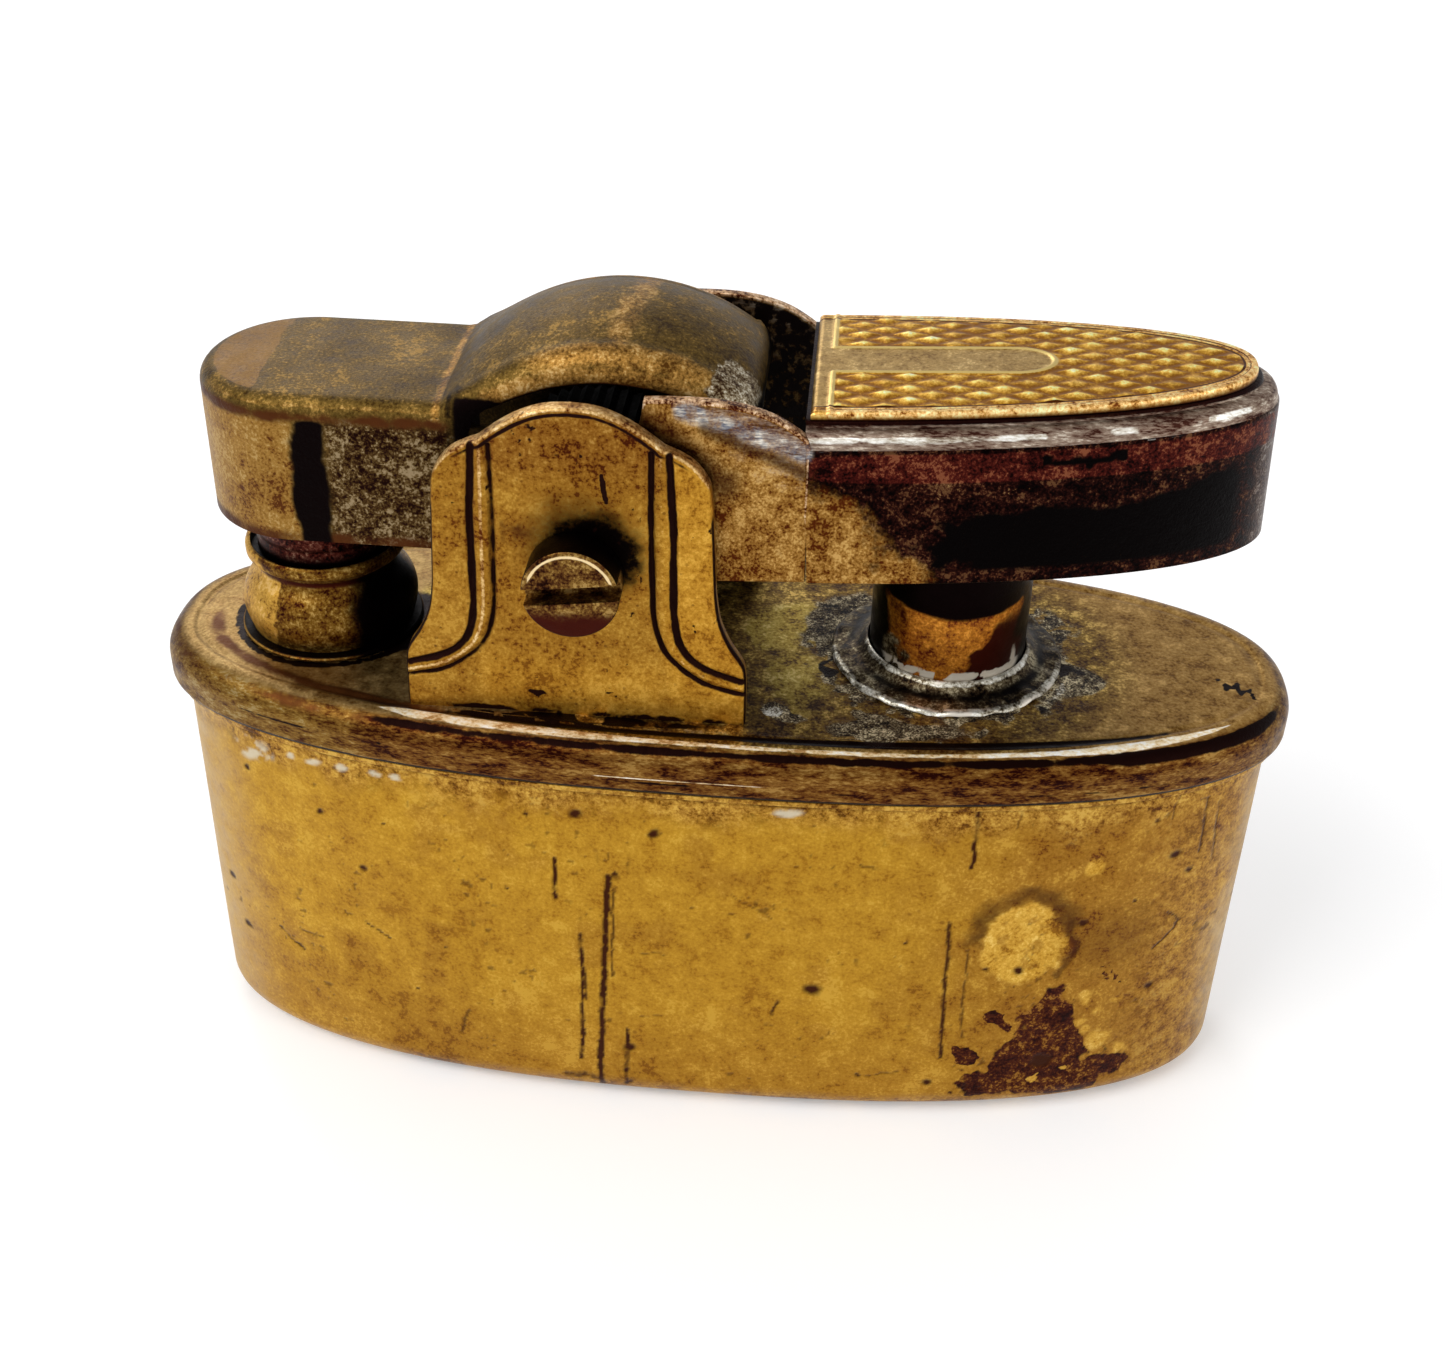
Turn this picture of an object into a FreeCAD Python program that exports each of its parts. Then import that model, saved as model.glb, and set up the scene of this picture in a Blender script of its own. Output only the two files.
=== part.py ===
import FreeCAD, Part
import os, math

V = FreeCAD.Vector
os.makedirs("parts", exist_ok=True)

# ---------------------------------------------------------------------------
# Semi-automatic table-lighter mechanism with an oval fuel tank.
# Millimetres. +X runs along the long axis towards the thumb lever, +Z is up,
# the origin is the centre of the tank's bottom face.
# ---------------------------------------------------------------------------

# tank and rim (oval = superellipse of exponent OV_N)
OV_A, OV_B, OV_N = 28.5, 10.15, 2.43   # half length, half width of the rim
RIM_Z0, TOP_Z = 21.37, 23.96           # rim underside, top face
RIM_R = 1.25                           # rounding of the rim's upper edge
WALL_IN = 0.75                         # tank wall set in from the rim
TANK_T = 0.7                           # tank wall thickness
TANK_FLOOR = 0.9
TANK_EDGE_R = 1.8
PLATE_T = 1.0

# standards (the two upright cheek plates)
ST_X, ST_Y, ST_T = -6.45, 7.5, 0.8     # centre, outer face, thickness
ST_HALF = [(8.10, 23.96), (8.05, 26.60), (7.87, 27.30), (7.25, 28.32),
           (6.80, 29.45), (6.60, 30.70), (6.33, 35.70), (6.02, 36.92),
           (5.48, 37.58), (4.15, 38.28), (3.18, 39.02), (1.70, 39.80), (0.0, 40.05)]

# axle of the flint wheel and snuffer
AX, AZ = -6.30, 31.75
HEAD_R, HEAD_H = 2.24, 1.9
SHANK_R = 1.1
SLEEVE_R = 1.45

# thumb lever pivot, drive pins
PX, PZ = -1.90, 27.40
PIV_R = 0.8
DR2 = 2.7                              # drive pin distance from the axle
RATIO = 3.1                            # snuffer turn per unit of lever turn
THROW = 12.0                           # lever travel, degrees
DPIN_R = 0.6

# thumb lever
LV_X0, LV_TIP, LV_W, LV_N = 4.0, 25.35, 6.35, 2.25
LV_T = 0.6
LV_ZB, LV_ZT = 31.30, 39.15
LV_TILT = 3.0
LV_C = V(4, 0, 35)
PL_X0, PL_TIP, PL_W, PL_T = 4.2, 24.25, 5.45, 0.45
EAR_Y0, EAR_Y1 = 5.78, 6.31

# snuffer arm and wheel hood
WX = -20.1                             # wick axis
ARM_W, ARM_T = 5.0, 0.6
ARM_ZB, ARM_ZT = 31.2, 38.6
HD_X, HD_Z, HD_R = -5.0, 32.2, 10.05   # hood arc centre and radius
HD_RI = 8.5                            # hood skirt's lower edge
HUB_R = 4.6

# return spring post
SX, SR_O, SR_I = 11.28, 3.89, 3.35
SLEEVE_TOP = 33.2

# wheel
WH_R, WH_HW = 5.1, 2.0
RT_R, RT_ROOT, RT_N = 4.0, 3.4, 16

# bottom fittings
FILL_X = 17.0

OUT = {}


# --- helpers ---------------------------------------------------------------
def poly_face(pts, y):
    w = Part.makePolygon([V(p[0], y, p[1]) for p in pts] + [V(pts[0][0], y, pts[0][1])])
    return Part.Face(w)


def slab(pts, y0, y1):
    return poly_face(pts, y0).extrude(V(0, y1 - y0, 0))


def ycyl(x, z, r, y0, y1):
    return Part.makeCylinder(r, y1 - y0, V(x, y0, z), V(0, 1, 0))


def zcyl(x, y, r, z0, z1):
    return Part.makeCylinder(r, z1 - z0, V(x, y, z0), V(0, 0, 1))


def box(x0, y0, z0, x1, y1, z1):
    return Part.makeBox(x1 - x0, y1 - y0, z1 - z0, V(x0, y0, z0))


def both(shape):
    m = shape.mirror(V(0, 0, 0), V(0, 1, 0))
    return [shape, m]


def oval_pts(a, b, n, off, count=72):
    dense = []
    for i in range(2880):
        t = 2 * math.pi * i / 2880
        c, s = math.cos(t), math.sin(t)
        x = a * math.copysign(abs(c) ** (2 / n), c)
        y = b * math.copysign(abs(s) ** (2 / n), s)
        gx = math.copysign(abs(x / a) ** (n - 1) / a, x)
        gy = math.copysign(abs(y / b) ** (n - 1) / b, y)
        g = math.hypot(gx, gy)
        dense.append((x - off * gx / g, y - off * gy / g))
    L = [0.0]
    for i in range(1, len(dense) + 1):
        p, q = dense[i - 1], dense[i % len(dense)]
        L.append(L[-1] + math.hypot(q[0] - p[0], q[1] - p[1]))
    out, j = [], 0
    for k in range(count):
        s = L[-1] * k / count
        while L[j + 1] < s:
            j += 1
        f = (s - L[j]) / (L[j + 1] - L[j]) if L[j + 1] > L[j] else 0
        p, q = dense[j], dense[(j + 1) % len(dense)]
        out.append((p[0] + (q[0] - p[0]) * f, p[1] + (q[1] - p[1]) * f))
    return out


def oval(off, z0, z1):
    c = Part.BSplineCurve()
    c.interpolate([V(x, y, z0) for x, y in oval_pts(OV_A, OV_B, OV_N, off)], PeriodicFlag=True)
    return Part.Face(Part.Wire([c.toShape()])).extrude(V(0, 0, z1 - z0))


def edge_at_z(shape, z):
    return [e for e in shape.Edges
            if abs(e.BoundBox.ZMin - z) < 1e-3 and abs(e.BoundBox.ZMax - z) < 1e-3]


def lathe(prof, x):
    w = Part.makePolygon([V(x + r, 0, z) for r, z in prof] + [V(x + prof[0][0], 0, prof[0][1])])
    return Part.Face(w).revolve(V(x, 0, 0), V(0, 0, 1), 360)


def coil(x, r, wire, z0, z1, turns):
    h = (z1 - z0) - 2 * wire
    pitch = h / turns
    hx = Part.makeHelix(pitch, h, r)
    prof = Part.Wire([Part.makeCircle(wire, V(r, 0, 0), V(0, 1, pitch / (2 * math.pi * r)))])
    s = Part.Wire(hx.Edges).makePipeShell([prof], True, True)
    s.translate(V(x, 0, z0 + wire))
    return s


def bullet(x0, tip, w, n, off, count=40):
    """Half outline of the lever in plan: straight at x0, closing to the tip."""
    pts = []
    for i in range(count + 1):
        t = math.pi / 2 * i / count
        x = x0 + (tip - x0) * math.cos(t) ** (2 / n) if t < math.pi / 2 - 1e-9 else x0
        y = w * math.sin(t) ** (2 / n) if t > 0 else 0.0
        gx = ((x - x0) / (tip - x0)) ** (n - 1) / (tip - x0)
        gy = (y / w) ** (n - 1) / w
        g = math.hypot(gx, gy)
        pts.append((x - off * gx / g, y - off * gy / g))
    return pts


def bullet_solid(xl, x0, tip, w, n, off, z0, z1):
    half = bullet(x0, tip, w, n, off)
    top = [V(x, y, z0) for x, y in half]
    low = [V(x, -y, z0) for x, y in reversed(half)][:-1]
    # one smooth curve from the lower left over the tip to the upper left
    c = Part.BSplineCurve()
    c.interpolate(low + top)
    e = c.toShape()
    a, b = V(xl, top[-1].y, z0), V(xl, low[0].y, z0)
    edges = [e]
    if abs(top[-1].x - xl) > 1e-6:
        edges += [Part.LineSegment(top[-1], a).toShape(), Part.LineSegment(a, b).toShape(),
                  Part.LineSegment(b, low[0]).toShape()]
    else:
        edges += [Part.LineSegment(top[-1], low[0]).toShape()]
    return Part.Face(Part.Wire(Part.__sortEdges__(edges))).extrude(V(0, 0, z1 - z0))


def tilt(s):
    s = s.copy()
    s.rotate(LV_C, V(0, 1, 0), -LV_TILT)
    return s


def pol(r, deg):
    a = math.radians(deg)
    return (AX + r * math.cos(a), AZ + r * math.sin(a))


def put(name, shape):
    if isinstance(shape, list):
        shape = Part.makeCompound(shape)
    OUT[name] = shape


# --- tank ------------------------------------------------------------------
outer = oval(WALL_IN, 0, RIM_Z0 + 1.4)
outer = outer.makeFillet(TANK_EDGE_R, edge_at_z(outer, 0))
inner = oval(WALL_IN + TANK_T, TANK_FLOOR, RIM_Z0 + 2)
inner = inner.makeFillet(TANK_EDGE_R - TANK_T, edge_at_z(inner, TANK_FLOOR))
flange = oval(0.32, RIM_Z0 - 0.40, RIM_Z0)
tank = outer.fuse(flange).cut(inner)
tank = tank.cut(zcyl(FILL_X, 0, 4.0, -1, 3)).cut(zcyl(AX, 0, 2.4, -1, 3))
put("tank_body", tank.removeSplitter())

# --- top plate with rolled rim ----------------------------------------------
plate = oval(0, RIM_Z0, TOP_Z)
plate = plate.makeFillet(RIM_R, edge_at_z(plate, TOP_Z))
plate = plate.makeFillet(0.35, edge_at_z(plate, RIM_Z0))
plate = plate.cut(oval(WALL_IN - 0.03, RIM_Z0 - 1, RIM_Z0 + 1.43))
plate = plate.cut(oval(WALL_IN + TANK_T + 0.8, RIM_Z0, TOP_Z - PLATE_T))
plate = plate.cut(zcyl(WX, 0, 2.65, 20, 25)).cut(zcyl(AX, 0, 2.13, 20, 25))
plate = plate.cut(zcyl(SX, 0, 3.33, 20, 25))
TAB_X = (4.6, 1.6)                     # tab centre offset from the axis, half width
for s in (-1, 1):
    for sy in (-1, 1):
        cx = ST_X + s * TAB_X[0]
        y0, y1 = sorted((sy * (ST_Y - ST_T) - sy * 0.02, sy * ST_Y + sy * 0.02))
        plate = plate.cut(box(cx - TAB_X[1] - 0.02, y0, 21.0, cx + TAB_X[1] + 0.02, y1, 25))
put("top_plate", plate)

# --- standards ---------------------------------------------------------------
left = [(ST_X - d, z) for d, z in ST_HALF]
right = [(ST_X + d, z) for d, z in reversed(ST_HALF[:-1])]


def standard_face(y):
    def spl(pts):
        c = Part.BSplineCurve()
        c.interpolate([V(p[0], y, p[1]) for p in pts])
        return c.toShape()

    def lin(p, q):
        return Part.LineSegment(V(p[0], y, p[1]), V(q[0], y, q[1])).toShape()
    L, R = left, right[::-1]
    es = [lin(L[0], L[1]), spl(L[1:6]), lin(L[5], L[6]), spl(L[6:10]),
          spl(L[9:13] + [R[11], R[10], R[9]]), spl(R[6:10]), lin(R[6], R[5]),
          spl(R[1:6]), lin(R[1], R[0]), lin(R[0], L[0])]
    return Part.Face(Part.Wire(Part.__sortEdges__(es)))


fs = standard_face(-ST_Y).extrude(V(0, ST_T, 0))
for s in (-1, 1):
    cx = ST_X + s * TAB_X[0]
    fs = fs.fuse(box(cx - TAB_X[1], -ST_Y, 22.4, cx + TAB_X[1], -ST_Y + ST_T, 24.0))
fs = fs.cut(ycyl(AX, AZ, SHANK_R + 0.05, -9, -5))
fs = fs.cut(ycyl(PX, PZ, PIV_R + 0.01, -ST_Y + ST_T - 0.42, -5)).removeSplitter()
put("front_standard", fs)
put("rear_standard", fs.mirror(V(0, 0, 0), V(0, 1, 0)))

# --- axle ---------------------------------------------------------------------
head = ycyl(AX, AZ, HEAD_R, -ST_Y - HEAD_H, -ST_Y - 0.01)
front_edge = [e for e in head.Edges if abs(e.BoundBox.YMax + ST_Y + HEAD_H) < 1e-3
              and abs(e.BoundBox.YMin + ST_Y + HEAD_H) < 1e-3]
head = head.makeFillet(0.22, front_edge)
slot = box(-4, -ST_Y - HEAD_H - 1, -0.4, 4, -ST_Y - HEAD_H + 0.95, 0.4)
slot.rotate(V(0, 0, 0), V(0, 1, 0), -7)
slot.translate(V(AX, 0, AZ))
screw = head.cut(slot).fuse(ycyl(AX, AZ, SHANK_R, -ST_Y - 0.02, 9.0)).removeSplitter()
put("axle_screw", screw)
nut = Part.Face(Part.makePolygon([V(AX + 2.5 * math.cos(math.radians(30 + 60 * i)), ST_Y + 0.01,
                                    AZ + 2.5 * math.sin(math.radians(30 + 60 * i))) for i in range(7)])
                ).extrude(V(0, 1.35, 0))
nut = nut.common(Part.makeSphere(3.2, V(AX, ST_Y - 0.55, AZ)))
put("axle_nut", nut.cut(ycyl(AX, AZ, SHANK_R + 0.01, 7, 10)))
sl = ycyl(AX, AZ, SLEEVE_R, -5.6, 5.6).fuse(ycyl(AX, AZ, 1.3, -6.68, 6.68))
put("axle_sleeve", sl.cut(ycyl(AX, AZ, SHANK_R + 0.02, -7, 7)).removeSplitter())
put("lever_pivot_pin", ycyl(PX, PZ, PIV_R, -7.1, 7.1))

# --- flint wheel group ----------------------------------------------------------
wpts = []
NT = 48
for i in range(NT):
    a0 = 360.0 * i / NT
    wpts += [pol(WH_R, a0), pol(WH_R - 0.28, a0 + 360.0 / NT * 0.55)]
wheel = slab(wpts, -WH_HW, WH_HW).cut(ycyl(AX, AZ, 2.0, -3, 3))
put("flint_wheel", wheel)
rpts = []
STEP = 360.0 / RT_N
for i in range(RT_N):
    a0 = 160 + STEP * i
    rpts += [pol(RT_ROOT, a0), pol(RT_R, a0 + STEP - 0.6)]
ratchet = slab(rpts, 2.0, 3.2).cut(ycyl(AX, AZ, 2.0, 1, 4))
put("ratchet_wheel", ratchet)
hub = ycyl(AX, AZ, 2.0, -WH_HW, 3.2).cut(ycyl(AX, AZ, SLEEVE_R + 0.05, -4, 4))
put("wheel_hub", hub)
sp1 = ycyl(AX, AZ, 2.0, -4.35, -2.06).cut(ycyl(AX, AZ, SLEEVE_R + 0.01, -6, 0))
sp2 = ycyl(AX, AZ, 2.0, 3.26, 4.35).cut(ycyl(AX, AZ, SLEEVE_R + 0.01, 0, 6))
put("wheel_spacers", [sp1, sp2])

# --- snuffer arm with wheel hood --------------------------------------------------
def dplan(w, xr, z0, z1):
    a = Part.Arc(V(WX, w, z0), V(WX - w, 0, z0), V(WX, -w, z0)).toShape()
    es = [a, Part.LineSegment(V(WX, -w, z0), V(xr, -w, z0)).toShape(),
          Part.LineSegment(V(xr, -w, z0), V(xr, w, z0)).toShape(),
          Part.LineSegment(V(xr, w, z0), V(WX, w, z0)).toShape()]
    return Part.Face(Part.Wire(Part.__sortEdges__(es))).extrude(V(0, 0, z1 - z0))


arm = dplan(ARM_W, -12.4, ARM_ZB, ARM_ZT)
te = [e for e in edge_at_z(arm, ARM_ZT) if e.BoundBox.XMin < -13]
arm = arm.makeFillet(0.9, te)
arm = arm.cut(dplan(ARM_W - ARM_T, -10, ARM_ZB - 1, ARM_ZT - ARM_T))


def sector(ri, ro, a0, a1, y0, y1, cx=HD_X, cz=HD_Z):
    def P(r, a):
        a = math.radians(a)
        return V(cx + r * math.cos(a), y0, cz + r * math.sin(a))
    am = (a0 + a1) / 2
    es = [Part.Arc(P(ro, a0), P(ro, am), P(ro, a1)).toShape(),
          Part.LineSegment(P(ro, a1), P(ri, a1)).toShape(),
          Part.Arc(P(ri, a1), P(ri, am), P(ri, a0)).toShape(),
          Part.LineSegment(P(ri, a0), P(ro, a0)).toShape()]
    return Part.Face(Part.Wire(Part.__sortEdges__(es))).extrude(V(0, y1 - y0, 0))


A_R, A_L = 44.5, 141.5
hood = sector(HD_RI, HD_R, A_R, A_L, -ARM_W, ARM_W)
he = [e for e in hood.Edges if e.Curve.TypeId == "Part::GeomCircle" and abs(e.Curve.Radius - HD_R) < 1e-3]
hood = hood.makeFillet(1.2, he)
hood = hood.cut(sector(5, HD_R - ARM_T, A_R + 3.6, 160, -ARM_W + ARM_T, ARM_W - ARM_T))
cheek = ycyl(AX, AZ, HUB_R, -ARM_W, -ARM_W + ARM_T)
cheek = cheek.fuse(slab([(-12.6, ARM_ZB), (-9.1, 28.05), (-4.7, 36.0), (-11.2, 37.55), (-12.6, 38.2)],
                        -ARM_W, -ARM_W + ARM_T))
PWX, PWZ = AX - 4.6, AZ - 2.6          # pawl pivot
cheek = cheek.fuse(ycyl(PWX, PWZ, 1.3, -ARM_W, -ARM_W + ARM_T))
cheek = cheek.cut(ycyl(AX, AZ, SLEEVE_R + 0.05, -7, 7))
d = math.hypot(AX - PX, AZ - PZ)
ux, uz = (AX - PX) / d, (AZ - PZ) / d
SLW = DPIN_R + 0.18
s0, s1 = DR2, DR2 + 0.52
p0, p1 = (AX + ux * s0, AZ + uz * s0), (AX + ux * s1, AZ + uz * s1)
nx, nz = -uz, ux
slotc = ycyl(p0[0], p0[1], SLW, -7, 7).fuse(ycyl(p1[0], p1[1], SLW, -7, 7)).fuse(
    slab([(p0[0] + nx * SLW, p0[1] + nz * SLW), (p1[0] + nx * SLW, p1[1] + nz * SLW),
          (p1[0] - nx * SLW, p1[1] - nz * SLW), (p0[0] - nx * SLW, p0[1] - nz * SLW)], -7, 7))
cheek = cheek.cut(slotc)
arm = arm.fuse(hood).fuse(cheek).fuse(cheek.mirror(V(0, 0, 0), V(0, 1, 0)))
put("snuffer_arm", arm.removeSplitter())
DX, DZ = p0

# snuffer cup on its stem
cup = zcyl(WX, 0, 3.35, 28.55, 32.5).cut(zcyl(WX, 0, 2.85, 28, 32.0))
cup = cup.makeFillet(0.5, [e for e in edge_at_z(cup, 32.5)])
put("snuffer_cup", cup)
put("cup_seal", zcyl(WX, 0, 2.8, 31.3, 31.98))
stem = zcyl(WX, 0, 0.6, 32.5, 35.75).fuse(zcyl(WX, 0, 1.15, 35.7, 36.3))
put("cup_stem", stem.removeSplitter())
guide = dplan(ARM_W - ARM_T - 0.05, -17.4, 35.0, 35.6).cut(zcyl(WX, 0, 0.66, 34, 37))
put("cup_guide", guide)
put("cup_spring", coil(WX, 1.45, 0.2, 32.55, 34.95, 3))

# pawl
ppts = [pol(3.60, 161.4), pol(4.25, 160.8), pol(5.45, 183), (PWX - 0.95, PWZ + 0.5),
        (PWX - 0.4, PWZ - 0.6), (PWX + 0.85, PWZ), pol(4.40, 184)]
pawl = slab(ppts, 2.1, 3.15).fuse(ycyl(PWX, PWZ, 1.0, 2.1, 3.15)).cut(ycyl(PWX, PWZ, 0.55, 1, 4))
put("pawl", pawl.removeSplitter())
put("pawl_pin", ycyl(PWX, PWZ, 0.5, 2.06, 4.4))
put("pawl_spring", ycyl(PWX, PWZ, 1.0, 3.3, 4.3).cut(ycyl(PWX, PWZ, 0.62, 3, 5)))

# --- thumb lever ---------------------------------------------------------------------
lv = bullet_solid(LV_X0, LV_X0, LV_TIP, LV_W, LV_N, 0, LV_ZB, LV_ZT)
te = [e for e in edge_at_z(lv, LV_ZT) if e.BoundBox.XMax > 10]
lv = lv.makeFillet(0.85, te)
lv = lv.cut(bullet_solid(2, LV_X0, LV_TIP, LV_W, LV_N, LV_T, LV_ZB - 2, LV_ZT - LV_T))
lip = box(LV_X0, -5.8, LV_ZT - 1.6, LV_X0 + 0.6, 5.8, LV_ZT - 0.3)
lv = tilt(lv.fuse(lip))
e_out = [(4.6, 31.0), (4.6, 38.3), (3.55, 39.03), (2.45, 39.59), (1.35, 39.95), (-0.84, 40.18),
         (-3.33, 40.10), (-3.9, 37.2), (-8.0, 35.2), (-9.3, 34.5), (DX - 1.15, DZ - 0.3), (DX - 0.5, DZ - 1.1),
         (-5.5, 30.6), (-3.6, 28.4), (PX, PZ - 1.5), (-0.25, 29.0), (-0.1, 31.12)]
ear = slab(e_out, EAR_Y0, EAR_Y1)
ear = ear.fuse(ycyl(PX, PZ, 1.7, EAR_Y0, EAR_Y1)).fuse(ycyl(DX, DZ, 1.2, EAR_Y0, EAR_Y1))
ear = ear.removeSplitter()
for k in range(0, 27):                 # clearance for the axle over the travel
    a = math.radians(0.6 - k * (THROW + 1.4) / 26)
    rx, rz = AX - PX, AZ - PZ
    cx = PX + rx * math.cos(a) + rz * math.sin(a)
    cz = PZ + rz * math.cos(a) - rx * math.sin(a)
    ear = ear.cut(ycyl(cx, cz, 1.5, 5, 7))
ear = ear.cut(ycyl(PX, PZ, PIV_R + 0.05, 5, 7)).cut(ycyl(DX, DZ, DPIN_R, 5, 7))
lever = lv.fuse([ear, ear.mirror(V(0, 0, 0), V(0, 1, 0))])
put("thumb_lever", lever.removeSplitter())
put("drive_pins", both(ycyl(DX, DZ, DPIN_R, 4.40, EAR_Y1)))
pl = bullet_solid(PL_X0, PL_X0, PL_TIP, PL_W, LV_N, 0, LV_ZT, LV_ZT + PL_T)
put("thumb_plate", tilt(pl))

# --- return spring post ----------------------------------------------------------------
put("spring_sleeve", zcyl(SX, 0, SR_O, TOP_Z, SLEEVE_TOP).cut(zcyl(SX, 0, SR_I, 20, 40)))
put("sleeve_collar", lathe([(3.93, TOP_Z), (5.75, TOP_Z), (5.7, TOP_Z + 0.25), (5.35, TOP_Z + 0.5),
                            (4.7, TOP_Z + 0.55), (3.93, TOP_Z + 0.4)], SX))
put("spring_cup", zcyl(SX, 0, 3.3, 12.6, TOP_Z - 0.02).cut(zcyl(SX, 0, 2.85, 13.1, 30)))
roof = tilt(Part.Vertex(V(SX, 0, LV_ZT - LV_T))).Point
DOME_R = 5.0
tdir = math.radians(LV_TILT)
# dome centre such that the dome just clears the roof plane
roof_n = (-math.sin(tdir), math.cos(tdir))
ref = tilt(Part.Vertex(V(4, 0, LV_ZT - LV_T))).Point
def roof_gap(cx, cz, th):
    """distance from a point up to the roof plane with the lever turned th (rad)"""
    rx, rz = ref.x - PX, ref.z - PZ
    qx = PX + rx * math.cos(th) + rz * math.sin(th)
    qz = PZ + rz * math.cos(th) - rx * math.sin(th)
    a = tdir - th
    n = (-math.sin(a), math.cos(a))
    return (qx - cx) * n[0] + (qz - cz) * n[1]
dz = 30.0
for _ in range(60):
    dz += (roof_gap(SX, dz, 0) - DOME_R - 0.04)
need = 0.0
for k in range(1, 61):
    th = math.radians(THROW) * k / 60
    lo, hi = 0.0, 6.0
    for _ in range(50):
        m = (lo + hi) / 2
        if roof_gap(SX, dz - m, th) - DOME_R < 0.02:
            lo = m
        else:
            hi = m
    need = max(need, hi / th)
PLUNGE = need                           # plunger travel, mm per radian of lever turn
ptop = dz + DOME_R
plg = zcyl(SX, 0, 3.28, 29.6, ptop).common(Part.makeSphere(DOME_R, V(SX, 0, dz)).fuse(zcyl(SX, 0, 3.28, 20, dz)))
plg = plg.cut(zcyl(SX, 0, 2.75, 29, ptop - 1.1))
put("spring_plunger", plg)
put("return_spring", coil(SX, 2.2, 0.3, 13.12, ptop - 1.12, 11))

# --- wick tube, wick, packing -------------------------------------------------------------
wt = [(1.5, 19.2), (2.6, 19.2), (2.6, TOP_Z), (4.6, TOP_Z), (4.6, 24.15), (4.42, 24.32), (4.42, 25.6),
      (4.33, 26.2), (4.08, 26.75), (3.70, 27.15), (3.25, 27.38), (3.02, 27.6), (3.0, 27.95), (3.15, 28.14),
      (3.85, 28.18), (3.95, 28.3), (3.95, 28.74), (3.85, 28.86), (3.65, 28.86), (3.65, 28.52), (2.1, 28.52),
      (2.1, 29.8), (2.0, 29.9), (1.5, 29.9)]
put("wick_tube", lathe(wt, WX))
put("wick", zcyl(WX, 0, 1.42, 3.0, 30.4))
cot = oval(WALL_IN + TANK_T + 0.9, 2.4, 20.4)
for (x, r) in ((WX, 1.5), (AX, 2.2), (SX, 3.4)):
    cot = cot.cut(zcyl(x, 0, r, -1, 30))
cot = cot.cut(zcyl(FILL_X, 0, 5.2, -1, 4.9)).cut(zcyl(WX, 0, 2.7, 19.0, 30)).cut(zcyl(AX, 0, 3.3, -1, 3))
put("cotton_packing", cot)

# --- flint feed ---------------------------------------------------------------------------
ft = zcyl(AX, 0, 2.1, TANK_FLOOR + 0.02, 26.2).fuse(zcyl(AX, 0, 3.2, TANK_FLOOR + 0.02, 1.7))
put("flint_tube", ft.cut(zcyl(AX, 0, 1.4, 0, 30)).removeSplitter())
put("flint", zcyl(AX, 0, 1.3, 21.6, AZ - WH_R - 0.04))
fp = zcyl(AX, 0, 1.3, 20.7, 21.58).fuse(zcyl(AX, 0, 0.55, 17.0, 20.75))
put("flint_plunger", fp.removeSplitter())
put("flint_spring", coil(AX, 0.95, 0.2, 4.25, 20.68, 12))
fsw = zcyl(AX, 0, 2.3, 0.15, 0.9).fuse(zcyl(AX, 0, 1.33, 0.85, 4.2))
fsw = fsw.cut(box(AX - 3, -0.35, 0, AX + 3, 0.35, 0.55))
put("flint_screw", fsw.removeSplitter())

# --- filler ---------------------------------------------------------------------------------
fb = zcyl(FILL_X, 0, 5.0, TANK_FLOOR + 0.01, 4.5).cut(zcyl(FILL_X, 0, 3.2, 0, 6)).cut(zcyl(FILL_X, 0, 3.98, 0, 1.42))
put("filler_bush", fb)
fw = zcyl(FILL_X, 0, 3.9, 0.98, 1.38).cut(zcyl(FILL_X, 0, 3.25, 0, 3))
put("filler_washer", fw)
fsc = zcyl(FILL_X, 0, 3.8, 0.2, 0.96).fuse(zcyl(FILL_X, 0, 3.14, 0.9, 4.2))
fsc = fsc.cut(box(FILL_X - 5, -0.45, 0, FILL_X + 5, 0.45, 0.6))
put("filler_screw", fsc.removeSplitter())

# --- write ------------------------------------------------------------------------------------
for name, s in OUT.items():
    s.exportStep("parts/%s.step" % name)
    print("%-18s solids %d valid %s closed %s vol %.3f  x %.2f..%.2f y %.2f..%.2f z %.2f..%.2f" % (
        name, len(s.Solids), s.isValid(), all(k.isClosed() for k in s.Solids), s.Volume,
        s.BoundBox.XMin, s.BoundBox.XMax, s.BoundBox.YMin, s.BoundBox.YMax, s.BoundBox.ZMin, s.BoundBox.ZMax))
print("plunger mm/rad %.4f  drive pin %.3f %.3f" % (PLUNGE, DX, DZ))
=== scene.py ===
import bpy, bmesh, math
import numpy as np
from mathutils import Matrix, Vector
from mathutils.geometry import delaunay_2d_cdt


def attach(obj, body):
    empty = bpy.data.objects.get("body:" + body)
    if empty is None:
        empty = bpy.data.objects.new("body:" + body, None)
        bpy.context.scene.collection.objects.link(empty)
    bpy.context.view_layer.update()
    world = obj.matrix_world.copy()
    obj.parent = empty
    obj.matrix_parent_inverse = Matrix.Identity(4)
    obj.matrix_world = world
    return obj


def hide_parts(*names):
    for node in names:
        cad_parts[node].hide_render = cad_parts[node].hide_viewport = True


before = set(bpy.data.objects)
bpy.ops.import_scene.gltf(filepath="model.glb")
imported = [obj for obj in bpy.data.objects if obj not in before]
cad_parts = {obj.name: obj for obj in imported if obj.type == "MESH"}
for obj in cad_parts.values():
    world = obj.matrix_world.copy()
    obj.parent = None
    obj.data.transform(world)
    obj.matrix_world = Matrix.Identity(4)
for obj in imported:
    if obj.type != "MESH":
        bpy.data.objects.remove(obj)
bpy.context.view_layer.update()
scene = bpy.context.scene
MM = 0.001

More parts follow.
